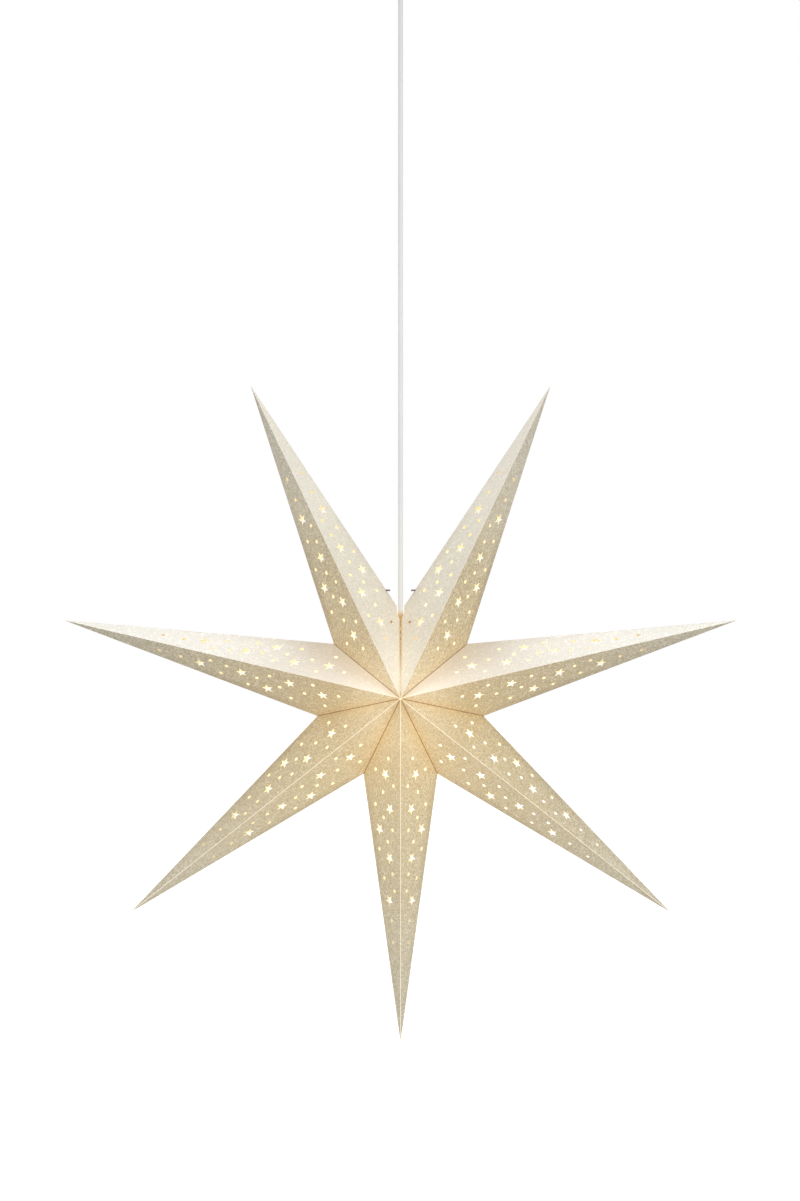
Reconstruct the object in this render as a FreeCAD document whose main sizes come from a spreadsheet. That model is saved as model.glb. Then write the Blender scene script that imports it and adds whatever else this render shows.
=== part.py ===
import FreeCAD, Part
import math
import os
import re
import Sketcher
from FreeCAD import Placement, Rotation, Vector

# A Moravian star pendant: a star of seven folded-paper rays round a small bulb, hung from the
# ceiling on a straight round cord that goes in at the notch between the two top rays.
#
# Frame: millimetres, +Z up. The origin is the centre of the ceiling bracket's top face, so the
# ceiling is z = 0. The star's seven rays lie in the XZ plane, its two blunt apexes point to -Y
# (the front) and +Y (the back), and the light's parts inside the star are drawn in heights
# measured from the star's own centre, then hung at the drop below the ceiling.

SIZES = (
    # the paper star
    ("star_drop", 862, "ceiling to the centre of the star"),
    ("tip_radius", 385, "star's centre to the tip of a ray"),
    ("notch_radius", 95, "star's centre to the notch between two rays"),
    ("half_depth", 70, "star's centre to the front or back apex"),
    ("paper", 0.4, "thickness of the paper"),
    ("flap_width", 8, "width of a glue flap between two rays"),
    ("flap_start", 14, "where a glue flap begins, from the centre line"),
    ("dot_radius", 2.4, "punched dot"),
    ("star_cut_radius", 6.8, "punched star, centre to point"),
    ("star_cut_waist", 2.9, "punched star, centre to inner corner"),
    ("apex_gap", 1.1, "radius of the gap where the rays' inner ends meet"),
    ("slit_width", 1.2, "top seam at the notch, where it stands open"),
    ("slit_length", 48, "how far down from the notch the top seam stands open"),
    ("opening_side_gap", 1.4, "cord to the side of its opening"),
    ("opening_front_gap", 4.2, "cord to the front of its opening, room to rock"),
    # the cord
    ("cord_radius", 2.8, "round cord with two cores"),
    ("cord_ball_radius", 2.95, "cord where it bends, in the mouth of its grip"),
    ("conductor_radius", 1.1, "insulated core inside the cord"),
    ("conductor_offset", 1.3, "core's centre from the cord's centre"),
    ("running_gap", 0.3, "between curved faces that move past each other"),
    ("thread_gap", 0.1, "between a plain thread and its hole"),
    ("tip_gap", 0.1, "screw's tip to what it holds"),
    ("screw_sunk", 0.4, "small screw's end below the face round it"),
    ("screw_slot_width", 0.9, "slot in a screw's head"),
    ("screw_slot_depth", 0.8, "its depth"),
    ("cut_margin", 0.5, "how far a cutter reaches past what it cuts"),
    ("lap", 0.01, "how far two shapes lap that are made one"),
    # ceiling bracket
    ("ear_gap", 3.8, "cup's inside to the bracket's ears"),
    ("bracket_width", 20, "strap across"),
    ("bracket_sheet", 1.5, "steel sheet"),
    ("ear_drop", 18, "ear's lower end below the ceiling"),
    ("ceiling_slot_spacing", 62, "between the middles of the two slots"),
    ("ceiling_slot_length", 14, "slot, end to end"),
    ("ceiling_slot_width", 5, "slot across"),
    ("mains_hole_radius", 6, "hole for the house's cable"),
    # canopy
    ("canopy_radius", 50, "cup's outside"),
    ("canopy_height", 55, "ceiling to the cup's underside"),
    ("canopy_wall", 2.2, "cup's wall"),
    ("canopy_round", 9, "rounding of the cup's lower edge"),
    ("canopy_top_gap", 0.5, "cup's rim to the ceiling"),
    ("side_screw_radius", 2, "screw that holds the cup on an ear"),
    ("side_screw_height", 11, "its axis below the ceiling"),
    ("side_screw_head_radius", 3.8, "its head"),
    ("side_screw_head", 2.4, "its head's thickness"),
    # cord grip in the canopy
    ("grip_stem_radius", 4.9, "thread through the cup"),
    ("grip_stem_length", 10, "thread above the cup's underside"),
    ("grip_flange_radius", 9.5, "grip's body below the cup"),
    ("grip_length", 16, "grip's body below the cup, to its mouth"),
    ("grip_pivot_depth", 7, "cup's underside to where the cord bends"),
    ("grip_mouth_angle", 24, "half angle of the grip's mouth, in degrees"),
    ("grip_edge", 0.8, "small slope at the grip's lower edge"),
    ("grip_nut_circle", 8.1, "hexagon nut, centre to corner"),
    ("grip_nut_height", 4.5, "hexagon nut"),
    ("grip_screw_radius", 1.5, "screw that presses on the cord"),
    ("grip_screw_depth", 3.6, "its axis below the cup's underside"),
    ("tail_top", 38, "ceiling to the end of the cord's sheath"),
    # terminal block on the bracket
    ("block_left", 8, "block's near face from the cord's line"),
    ("block_length", 13, "block along its brass tubes"),
    ("block_width", 20, "block across its two poles"),
    ("block_height", 13, "block below the strap"),
    ("pole_spacing", 10, "between the two brass tubes"),
    ("tube_radius", 2.2, "brass tube's outside"),
    ("tube_bore_radius", 1.5, "brass tube's bore"),
    ("tube_depth", 7, "tube's axis below the strap"),
    ("tube_inset", 0.5, "tube's ends inside the block's faces"),
    ("terminal_screw_radius", 1.2, "screw in a brass tube"),
    ("terminal_screw_spacing", 6.5, "between the two screws of a tube"),
    ("block_screw_radius", 1.4, "screw that holds the block on the strap"),
    ("block_screw_head_radius", 2.8, "its head"),
    ("block_screw_head", 1.6, "its head's thickness"),
    ("conductor_reach", 31, "how far the cores swing out past the block"),
    ("conductor_drop", 4.4, "where the cores run, below the block"),
    ("conductor_bend", 3.5, "bend radius of a core"),
    # lamp holder, heights from the star's centre
    ("cap_top", 64, "holder cap's top"),
    ("cap_rim", 48, "holder cap's lower rim"),
    ("holder_radius", 14, "cap's and skirt's outside"),
    ("holder_wall", 1.8, "skirt's wall"),
    ("skirt_bottom", 8, "skirt's lower end"),
    ("skirt_lip", 1.7, "lip at the skirt's lower end"),
    ("collar_height", 6, "skirt's thread inside the cap"),
    ("collar_wall", 0.7, "skirt's wall at that thread"),
    ("cap_shoulder", 8, "height of the cap's rounded shoulder"),
    ("cap_crown_inset", 5, "cap's flat top, in from its side"),
    ("cap_round_inset", 1.5, "middle of the shoulder's round, in from the side"),
    ("cap_round_drop", 2.8, "the same, below the cap's top"),
    ("cap_roof", 2.5, "cap's wall at its top"),
    ("nipple_radius", 4.9, "cord grip's thread through the cap"),
    ("nipple_length", 8, "that thread, below the ring of the hanger"),
    ("holder_grip_radius", 6, "cord grip on top of the holder"),
    ("holder_grip_top", 78, "its upper end"),
    ("holder_grip_slope", 1.5, "slope round its upper end"),
    ("core_top", 46, "insulating core's top"),
    ("core_roof", 6.5, "core's solid top, with the terminals"),
    ("core_cavity_radius", 7.8, "socket in the core"),
    ("core_gap", 0.2, "core to the skirt round it"),
    ("holder_pole_offset", 6.5, "core's terminals from the middle"),
    ("holder_wire_depth", 4.5, "how deep a wire goes into the core"),
    ("holder_wire_spread", 4, "height in which the two wires spread"),
    ("contact_wall", 0.4, "brass of the side contact"),
    ("contact_top", 37, "side contact's upper end"),
    ("contact_bottom", 15, "side contact's lower end"),
    ("centre_contact_radius", 2.2, "brass centre contact"),
    ("contact_bevel", 0.8, "bevelled edge of a centre contact"),
    # bulb
    ("bulb_radius", 22.5, "glass ball"),
    ("bulb_centre", -20, "its centre, from the star's centre"),
    ("glass_wall", 0.8, "glass"),
    ("neck_angle", 50, "where the neck leaves the ball, in degrees from the top"),
    ("neck_radius", 7.2, "glass neck below the cap"),
    ("neck_top", 9, "glass neck's upper end outside the cap"),
    ("neck_in_cap", 5, "glass neck inside the cap"),
    ("cap_radius", 6.9, "screw cap over its thread"),
    ("cap_thread_depth", 0.6, "screw cap's thread"),
    ("cap_thread_pitch", 2.8, "screw cap's thread"),
    ("cap_thread_turns", 6, "ridges on the screw cap"),
    ("cap_wall", 0.35, "screw cap's sheet"),
    ("cap_plain", 3, "screw cap's plain rim below the thread"),
    ("bulb_cap_bottom", 10, "screw cap's lower end"),
    ("insulator_bottom", 33, "glass ring between cap and contact"),
    ("insulator_top", 36, "its upper end"),
    ("insulator_radius", 5, "its lower edge"),
    ("insulator_top_radius", 3, "its upper edge"),
    ("bulb_contact_radius", 2.4, "bulb's centre contact"),
    ("bulb_contact_top", 37.4, "its upper end"),
    ("bulb_stem_radius", 2.4, "glass stem in the bulb"),
    ("bulb_stem_bottom", -3, "its lower end"),
    ("bulb_stem_flare", 3, "height of its flare at the neck"),
    ("filament_radius", 0.9, "one filament"),
    ("filament_length", 25, "one filament"),
    ("filament_count", 4, "filaments round the stem"),
    ("filament_circle", 7, "filaments' distance from the middle"),
    ("filament_top", -8, "their upper ends"),
    ("lead_radius", 0.4, "wire that carries the filaments"),
    ("lead_bend", 1.6, "its bend radius"),
    ("lead_hub", 1.2, "radius and height of the bead where the wires meet"),
    # hanger wire and seam clips
    ("hanger_wire", 2.0, "thickness of the hanger's wire"),
    ("hanger_ring_radius", 6.5, "ring round the holder's thread, to the wire's middle"),
    ("hang_height", 119, "hooked tips that carry the star, above its centre"),
    ("hanger_tip", 11.6, "tips' distance from the cord's middle"),
    ("hanger_spread", 25, "arms' greatest distance from the cord's middle"),
    ("hanger_arm_start", 4, "where an arm leaves the ring, out from its wire"),
    ("hanger_bend", 2.4, "bend radius of an arm"),
    ("hanger_hole_gap", 0.1, "hooked tip to its hole in the paper"),
    ("clip_wire", 1.2, "thickness of a seam clip's wire"),
    ("clip_spread", 10.6, "clip's ends from the seam"),
    ("clip_height", 84, "clip's ends above the star's centre"),
    ("clip_drop", 32, "clip's bridge below its ends"),
    ("clip_inset", 3, "clip's legs inside the paper, at their ends"),
    ("clip_bridge_inset", 27, "clip's bridge from the star's middle plane"),
    ("clip_proud", 1.8, "how far an end stands out of the paper"),
    ("clip_bend", 2, "bend radius of a clip"),
    ("clip_hole_gap", 0.3, "clip's wire to its hole in the paper"),
)

RAY_NAMES = ("ray_bottom", "ray_lower_left", "ray_left", "ray_top_left",
             "ray_top_right", "ray_right", "ray_lower_right")

# Punched dots and stars of one panel. The first number is the share of the way from the star's
# centre to the ray's tip, the second the share of the way from the ridge to the panel's edge.
DOTS = ((0.174, 0.42), (0.207, 0.72), (0.253, 0.20), (0.272, 0.50), (0.308, 0.76),
        (0.346, 0.54), (0.381, 0.27), (0.416, 0.46), (0.438, 0.79), (0.509, 0.34),
        (0.522, 0.71), (0.558, 0.29), (0.645, 0.53), (0.709, 0.56))
STARS = ((0.220, 0.41), (0.320, 0.33), (0.380, 0.71), (0.463, 0.43), (0.586, 0.57))
STAR_POINTS = 5

doc = FreeCAD.newDocument("MoravianStarPendant")
sheet = doc.addObject("Spreadsheet::Sheet", "Sizes")
for row, (alias, value, meaning) in enumerate(SIZES, start=1):
    sheet.set(f"A{row}", alias)
    sheet.set(f"B{row}", str(value))
    sheet.setAlias(f"B{row}", alias)
    sheet.set(f"C{row}", meaning)
doc.recompute()

ALIASES = re.compile(r"\b(" + "|".join(alias for alias, value, meaning in SIZES) + r")\b")
subparts = []


# ---- binding, primitives and booleans --------------------------------------------------------

def bound(words):
    """An expression on the sheet's cells, from words such as 'canopy_radius - canopy_wall'."""
    return ALIASES.sub(r"Sizes.\1", words)


def amount(words):
    """The number that such an expression gives."""
    return float(sheet.evalExpression(bound(words)))


def bind(item, sizes):
    for name, words in sizes.items():
        item.setExpression(name, bound(words))
    return item


def place(item, at=("0", "0", "0"), turn=None):
    if turn is not None:
        item.Placement = Placement(Vector(), turn)
    return bind(item, {f"Placement.Base.{axis}": words for axis, words in zip("xyz", at)})


def in_star(item):
    """Hang a piece that is drawn in heights from the star's centre."""
    return bind(item, {"Placement.Base.z": "-star_drop"})


def subpart(label, item):
    item.Label = label
    subparts.append(item)
    return item


TURNS = {"+Z": Rotation(), "-Z": Rotation(Vector(1, 0, 0), 180),
         "+X": Rotation(Vector(0, 1, 0), 90), "-X": Rotation(Vector(0, 1, 0), -90),
         "+Y": Rotation(Vector(1, 0, 0), -90), "-Y": Rotation(Vector(1, 0, 0), 90)}


def rod(name, radius, length, at=("0", "0", "0"), along="+Z"):
    item = bind(doc.addObject("Part::Cylinder", name), {"Radius": radius, "Height": length})
    return place(item, at, TURNS[along])


def box(name, size, corner):
    item = doc.addObject("Part::Box", name)
    bind(item, dict(zip(("Length", "Width", "Height"), size)))
    return place(item, corner)


def ball(name, radius, at=("0", "0", "0")):
    return place(bind(doc.addObject("Part::Sphere", name), {"Radius": radius}), at)


def cone(name, low_radius, high_radius, height, at):
    item = doc.addObject("Part::Cone", name)
    bind(item, {"Radius1": low_radius, "Radius2": high_radius, "Height": height})
    return place(item, at)


def fuse(name, *items):
    item = doc.addObject("Part::MultiFuse", name)
    item.Shapes = list(items)
    return item


def cut(name, base, *tools):
    item = doc.addObject("Part::Cut", name)
    item.Base = base
    item.Tool = tools[0] if len(tools) == 1 else fuse(name + "_tools", *tools)
    return item


def group(name, *items):
    item = doc.addObject("Part::Compound", name)
    item.Links = list(items)
    return item


def sketch_on(body, name, role, corners):
    """A closed outline whose corners are all bound to the sheet."""
    sketch = body.newObject("Sketcher::SketchObject", name)
    plane = next(feature for feature in body.Origin.OriginFeatures if feature.Role == role)
    sketch.AttachmentSupport = [(plane, "")]
    sketch.MapMode = "FlatFace"
    spots = [Vector(amount(across), amount(up), 0) for across, up in corners]
    for start, end in zip(spots, spots[1:] + spots[:1]):
        sketch.addGeometry(Part.LineSegment(start, end))
    for side, (spot, corner) in enumerate(zip(spots, corners)):
        following = (side + 1) % len(corners)
        sketch.addConstraint(Sketcher.Constraint("Coincident", side, 2, following, 1))
        for kind, size, words in zip(("DistanceX", "DistanceY"), spot, corner):
            constraint = sketch.addConstraint(Sketcher.Constraint(kind, side, 1, size))
            sketch.setExpression(f"Constraints[{constraint}]", bound(words))
    return sketch


def turned(name, outline):
    """A piece turned about Z, from its outline in (radius, height)."""
    body = doc.addObject("PartDesign::Body", name)
    profile = sketch_on(body, name + "_outline", "XZ_Plane", outline)
    revolution = body.newObject("PartDesign::Revolution", name + "_turned")
    revolution.Profile = profile
    revolution.ReferenceAxis = (profile, ["V_Axis"])
    revolution.Angle = 360
    body.Tip = revolution
    return body


def round_path(points, bend):
    """Straight runs joined by tangent arcs of one bend radius."""
    edges = []
    start = points[0]
    for before, corner, after in zip(points, points[1:], points[2:]):
        back = (before - corner).normalize()
        onward = (after - corner).normalize()
        half_turn = (math.pi - back.getAngle(onward)) / 2
        setback = bend * math.tan(half_turn)
        inward = (back + onward).normalize()
        middle = corner + inward * (bend / math.cos(half_turn) - bend)
        edges.append(Part.makeLine(start, corner + back * setback))
        edges.append(Part.Arc(corner + back * setback, middle, corner + onward * setback).toShape())
        start = corner + onward * setback
    edges.append(Part.makeLine(start, points[-1]))
    return Part.Wire(edges)


def bent_rod(points, radius, bend):
    ring = Part.Wire([Part.makeCircle(radius, points[0], points[1] - points[0])])
    return round_path(points, bend).makePipeShell([ring], True, False)


def shaped(name, shape, placement=None):
    item = doc.addObject("Part::Feature", name)
    item.Shape = shape
    if placement is not None:
        item.Placement = placement
    return item


def slotted_screw(name, radius, length, head_radius, head, at, along):
    """A screw whose head's underside is at the given point and whose shank runs along."""
    back = {"+": "-", "-": "+"}[along[0]] + along[1]
    shank = rod(name + "_shank", radius, length, at, along)
    cap = rod(name + "_head", head_radius, head, at, back)
    axis = "XYZ".index(along[1])
    sign = -1 if along[0] == "+" else 1
    size = [f"2 * ({head_radius} + cut_margin)"] * 3
    corner = [f"{spot} - ({head_radius} + cut_margin)" for spot in at]
    across = (axis + 1) % 3
    size[across] = "screw_slot_width"
    corner[across] = f"{at[across]} - screw_slot_width / 2"
    size[axis] = "screw_slot_depth + cut_margin"
    far = f"+ {head} - screw_slot_depth" if sign > 0 else f"- {head} - cut_margin"
    corner[axis] = f"{at[axis]} {far}"
    slot = box(name + "_slot", size, corner)
    return cut(name, fuse(name + "_blank", shank, cap), slot)


# ---- ceiling bracket, canopy and its screws --------------------------------------------------

def ceiling_bracket():
    half = "(canopy_radius - canopy_wall - ear_gap)"
    inner = f"({half} - bracket_sheet)"
    body = doc.addObject("PartDesign::Body", "bracket_strap")
    outline = sketch_on(body, "bracket_outline", "XZ_Plane", (
        ("-" + half, "0"), (half, "0"), (half, "-ear_drop"), (inner, "-ear_drop"),
        (inner, "-bracket_sheet"), ("-" + inner, "-bracket_sheet"),
        ("-" + inner, "-ear_drop"), ("-" + half, "-ear_drop")))
    pad = body.newObject("PartDesign::Pad", "bracket_pad")
    pad.Profile = outline
    pad.Midplane = True
    pad.setExpression("Length", bound("bracket_width"))
    body.Tip = pad
    low = "-bracket_sheet - cut_margin"
    through = "bracket_sheet + 2 * cut_margin"
    tools = [rod("mains_hole", "mains_hole_radius", through, ("0", "0", low))]
    straight = "(ceiling_slot_length - ceiling_slot_width)"
    for side, sign in (("left", "-"), ("right", "")):
        middle = f"{sign}ceiling_slot_spacing / 2"
        tools.append(box(f"slot_{side}", (straight, "ceiling_slot_width", through),
                         (f"{middle} - {straight} / 2", "-ceiling_slot_width / 2", low)))
        for end, shift in (("inner", "-"), ("outer", "+")):
            tools.append(rod(f"slot_{side}_{end}", "ceiling_slot_width / 2", through,
                             (f"{middle} {shift} {straight} / 2", "0", low)))
    tools.append(rod("ear_holes", "side_screw_radius + thread_gap", "2 * canopy_radius",
                     ("-canopy_radius", "0", "-side_screw_height"), "+X"))
    block_middle = "block_left + block_length / 2"
    tools.append(rod("block_screw_hole", "block_screw_radius + thread_gap", through,
                     (block_middle, "0", low)))
    subpart("ceiling_bracket", cut("bracket_cut", body, *tools))


def canopy():
    inside = "canopy_radius - canopy_wall"
    floor = "-canopy_height + canopy_wall"
    hole = "grip_stem_radius + thread_gap"
    body = turned("canopy_cup", (
        (hole, "-canopy_height"), ("canopy_radius", "-canopy_height"),
        ("canopy_radius", "-canopy_top_gap"), (inside, "-canopy_top_gap"),
        (inside, floor), (hole, floor)))
    doc.recompute()
    turning = body.Tip
    for name, radius, height, rounding in (
            ("canopy_outer_round", "canopy_radius", "-canopy_height", "canopy_round"),
            ("canopy_inner_round", inside, floor, "canopy_round - canopy_wall")):
        fillet = body.newObject("PartDesign::Fillet", name)
        edges = [f"Edge{i}" for i, edge in enumerate(turning.Shape.Edges, start=1)
                 if edge.Curve.TypeId == "Part::GeomCircle"
                 and abs(edge.Curve.Radius - amount(radius)) < 0.01
                 and abs(edge.Curve.Center.z - amount(height)) < 0.01]
        fillet.Base = (turning, edges)
        fillet.setExpression("Radius", bound(rounding))
        body.Tip = fillet
        doc.recompute()
        turning = fillet
    holes = rod("canopy_screw_holes", "side_screw_radius + thread_gap",
                "2 * (canopy_radius + cut_margin)",
                ("-canopy_radius - cut_margin", "0", "-side_screw_height"), "+X")
    subpart("canopy", cut("canopy_cut", body, holes))
    reach = "canopy_wall + ear_gap + 2 * bracket_sheet"
    screws = [slotted_screw(f"canopy_screw_{side}", "side_screw_radius", reach,
                            "side_screw_head_radius", "side_screw_head",
                            (f"{sign}canopy_radius", "0", "-side_screw_height"), along)
              for side, sign, along in (("left", "-", "+X"), ("right", "", "-X"))]
    subpart("canopy_screws", group("canopy_screw_pair", *screws))


def canopy_grip():
    bore = "cord_radius + running_gap"
    foot = "-canopy_height - grip_length"
    pivot = "-canopy_height - grip_pivot_depth"
    mouth = f"{bore} + (grip_length - grip_pivot_depth) * tan(grip_mouth_angle)"
    stem_top = "-canopy_height + grip_stem_length"
    body = turned("grip_body", (
        (bore, stem_top), ("grip_stem_radius", stem_top), ("grip_stem_radius", "-canopy_height"),
        ("grip_flange_radius", "-canopy_height"), ("grip_flange_radius", f"{foot} + grip_edge"),
        ("grip_flange_radius - grip_edge", foot), (mouth, foot), (bore, pivot)))
    axis_height = "-canopy_height - grip_screw_depth"
    hole = rod("grip_screw_hole", "grip_screw_radius + thread_gap", "grip_flange_radius",
               ("0", "0", axis_height), "+X")
    subpart("cord_grip", cut("grip_cut", body, hole))
    blank = doc.addObject("Part::Prism", "grip_nut_blank")
    blank.Polygon = 6
    bind(blank, {"Circumradius": "grip_nut_circle", "Height": "grip_nut_height"})
    place(blank, ("0", "0", "-canopy_height + canopy_wall"))
    nut_hole = rod("grip_nut_hole", "grip_stem_radius + thread_gap",
                   "grip_nut_height + 2 * cut_margin",
                   ("0", "0", "-canopy_height + canopy_wall - cut_margin"))
    subpart("cord_grip_nut", cut("grip_nut", blank, nut_hole))
    tip = "cord_radius + tip_gap"
    screw = rod("grip_screw", "grip_screw_radius", f"grip_flange_radius - screw_sunk - ({tip})",
                (tip, "0", axis_height), "+X")
    slot = box("grip_screw_slot", ("screw_slot_depth + cut_margin",
                                   "2 * (grip_screw_radius + cut_margin)", "screw_slot_width"),
               ("grip_flange_radius - screw_sunk - screw_slot_depth",
                "-grip_screw_radius - cut_margin", f"{axis_height} - screw_slot_width / 2"))
    subpart("cord_grip_screw", cut("grip_screw_cut", screw, slot))


def terminals():
    axis_height = "-bracket_sheet - tube_depth"
    low = "-bracket_sheet - block_height"
    middle = "block_left + block_length / 2"
    blank = box("block_blank", ("block_length", "block_width", "block_height"),
                ("block_left", "-block_width / 2", low))
    past_ends = "block_length + 2 * cut_margin"
    before = "block_left - cut_margin"
    tools = [rod("block_screw_way", "block_screw_radius + thread_gap",
                 "block_height + 2 * cut_margin", (middle, "0", f"{low} - cut_margin"))]
    tubes = []
    screws = []
    for pole, sign in (("live", "-"), ("neutral", "")):
        across = f"{sign}pole_spacing / 2"
        tools.append(rod(f"tube_way_{pole}", "tube_radius", past_ends,
                         (before, across, axis_height), "+X"))
        tube = rod(f"tube_{pole}", "tube_radius", "block_length - 2 * tube_inset",
                   ("block_left + tube_inset", across, axis_height), "+X")
        ways = [rod(f"tube_bore_{pole}", "tube_bore_radius", past_ends,
                    (before, across, axis_height), "+X")]
        for end, shift in (("near", "-"), ("far", "+")):
            along = f"{middle} {shift} terminal_screw_spacing / 2"
            ways.append(rod(f"tube_thread_{pole}_{end}", "terminal_screw_radius", "tube_depth",
                            (along, across, axis_height), "-Z"))
            tools.append(rod(f"screw_way_{pole}_{end}", "terminal_screw_radius + thread_gap",
                             "block_height", (along, across, axis_height), "-Z"))
            length = "block_height - tube_depth - screw_sunk - conductor_radius - tip_gap"
            screws.append(rod(f"terminal_screw_{pole}_{end}", "terminal_screw_radius - thread_gap / 2",
                              length, (along, across, f"{axis_height} - conductor_radius - tip_gap"),
                              "-Z"))
        tubes.append(cut(f"terminal_tube_{pole}", tube, *ways))
    subpart("terminal_block", cut("block_cut", blank, *tools))
    subpart("terminal_tubes", group("tube_pair", *tubes))
    subpart("terminal_screws", group("terminal_screw_set", *screws))
    subpart("block_screw", slotted_screw(
        "block_fixing", "block_screw_radius", "block_height + bracket_sheet",
        "block_screw_head_radius", "block_screw_head", (middle, "0", low), "+Z"))


def canopy_conductors():
    """The cord's two cores, from the end of its sheath round to the far side of the block."""
    height = amount("-bracket_sheet - tube_depth")
    reach = amount("conductor_reach")
    pole = amount("pole_spacing / 2")
    offset = amount("conductor_offset")
    start = amount("-tail_top")
    under = amount("-bracket_sheet - block_height - conductor_drop")
    end = amount("block_left + block_length / 2 + terminal_screw_spacing / 4")
    for name, side in (("canopy_core_live", -1), ("canopy_core_neutral", 1)):
        route = [Vector(0, side * offset, start), Vector(0, side * offset, under),
                 Vector(reach, side * pole, under), Vector(reach, side * pole, height),
                 Vector(end, side * pole, height)]
        subpart(name, shaped(name, bent_rod(route, amount("conductor_radius"),
                                            amount("conductor_bend"))))


# ---- the cord --------------------------------------------------------------------------------

def cord():
    pivot = "-canopy_height - grip_pivot_depth"
    sheath_end = "-tail_top"
    tail = rod("tail_blank", "cord_radius", f"{sheath_end} - ({pivot})", ("0", "0", pivot))
    room = ball("tail_room", "cord_ball_radius + thread_gap / 2", ("0", "0", pivot))
    subpart("cord_tail", cut("tail_cut", tail, room))
    subpart("cord_flex", ball("cord_ball", "cord_ball_radius", ("0", "0", pivot)))
    end = "-star_drop + cap_top - nipple_length / 2"
    run = rod("cord_blank", "cord_radius", f"{pivot} - ({end})", ("0", "0", end))
    hollow = ball("cord_room", "cord_ball_radius + thread_gap / 2", ("0", "0", pivot))
    subpart("cord", cut("cord_cut", run, hollow))


# ---- lamp holder -----------------------------------------------------------------------------

def holder_shell():
    inside = "holder_radius - holder_wall"
    collar = f"{inside} + collar_wall"
    hole = "nipple_radius + thread_gap"
    shoulder = "cap_top - cap_shoulder"
    inner_shoulder = f"max({shoulder} - cap_roof; cap_rim + collar_height + core_gap)"
    subpart("holder_cap", in_star(turned("holder_cap_body", (
        (hole, "cap_top"), ("holder_radius - cap_crown_inset", "cap_top"),
        ("holder_radius - cap_round_inset", "cap_top - cap_round_drop"),
        ("holder_radius", shoulder), ("holder_radius", "cap_rim"),
        (f"{collar} + thread_gap", "cap_rim"),
        (f"{collar} + thread_gap", "cap_rim + collar_height"),
        (inside, "cap_rim + collar_height"), (inside, inner_shoulder),
        ("holder_radius - cap_crown_inset - cap_roof / 2", "cap_top - cap_roof"),
        (hole, "cap_top - cap_roof")))))
    subpart("holder_skirt", in_star(turned("holder_skirt_body", (
        (f"{inside} - skirt_lip", "skirt_bottom"), ("holder_radius", "skirt_bottom"),
        ("holder_radius", "cap_rim"), (collar, "cap_rim"),
        (collar, "cap_rim + collar_height"), (inside, "cap_rim + collar_height"),
        (inside, "skirt_bottom + holder_wall"),
        (f"{inside} - skirt_lip", "skirt_bottom + holder_wall")))))


def holder_inside():
    inside = "holder_radius - holder_wall - core_gap"
    foot = "skirt_bottom + holder_wall"
    roof = "core_top - core_roof"
    body = turned("core_body", (
        ("core_cavity_radius", foot), (inside, foot), (inside, "core_top"),
        ("0", "core_top"), ("0", roof), ("core_cavity_radius", roof)))
    axis_height = "core_top - core_roof / 2"
    tools = []
    screws = []
    for pole, sign, along in (("live", "-", "-X"), ("neutral", "", "+X")):
        tools.append(rod(f"core_wire_hole_{pole}", "conductor_radius + thread_gap", "core_roof",
                         (f"{sign}holder_pole_offset", "0", "core_top - holder_wire_depth")))
        start = f"{sign}(holder_pole_offset + conductor_radius + tip_gap)"
        tools.append(rod(f"core_screw_hole_{pole}", "terminal_screw_radius + thread_gap",
                         "holder_radius", (f"{sign}holder_pole_offset", "0", axis_height), along))
        length = f"{inside} - screw_sunk - (holder_pole_offset + conductor_radius + tip_gap)"
        screws.append(rod(f"core_screw_{pole}", "terminal_screw_radius", length,
                          (start, "0", axis_height), along))
    subpart("holder_core", in_star(cut("core_cut", body, *tools)))
    subpart("holder_terminal_screws", in_star(group("core_screw_pair", *screws)))
    contact_inside = "cap_radius + running_gap"
    subpart("shell_contact", in_star(turned("shell_contact_body", (
        (contact_inside, "contact_bottom"), (f"{contact_inside} + contact_wall", "contact_bottom"),
        (f"{contact_inside} + contact_wall", "contact_top"), (contact_inside, "contact_top")))))
    subpart("centre_contact", in_star(turned("centre_contact_body", (
        ("0", "bulb_contact_top + running_gap"),
        ("centre_contact_radius - contact_bevel", "bulb_contact_top + running_gap"),
        ("centre_contact_radius", "bulb_contact_top + running_gap + contact_bevel"),
        ("centre_contact_radius", roof), ("0", roof)))))


def holder_grip():
    """The cord grip on top of the holder. Its thread goes through the hanger's ring."""
    flange = "cap_top + hanger_wire"
    bore = "cord_radius + running_gap"
    foot = f"{flange} - nipple_length"
    body = turned("holder_grip_body", (
        (bore, foot), ("nipple_radius", foot), ("nipple_radius", flange),
        ("holder_grip_radius", flange),
        ("holder_grip_radius", "holder_grip_top - holder_grip_slope"),
        ("holder_grip_radius - holder_grip_slope", "holder_grip_top"),
        (bore, "holder_grip_top")))
    axis_height = f"({flange} + holder_grip_top) / 2"
    hole = rod("holder_grip_screw_hole", "grip_screw_radius + thread_gap", "holder_grip_radius",
               ("0", "0", axis_height), "-Y")
    subpart("holder_cord_grip", in_star(cut("holder_grip_cut", body, hole)))
    tip = "cord_radius + running_gap"
    subpart("holder_grip_screw", in_star(rod(
        "holder_grip_screw_rod", "grip_screw_radius", f"holder_grip_radius - screw_sunk - ({tip})",
        ("0", f"-({tip})", axis_height), "-Y")))


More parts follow.
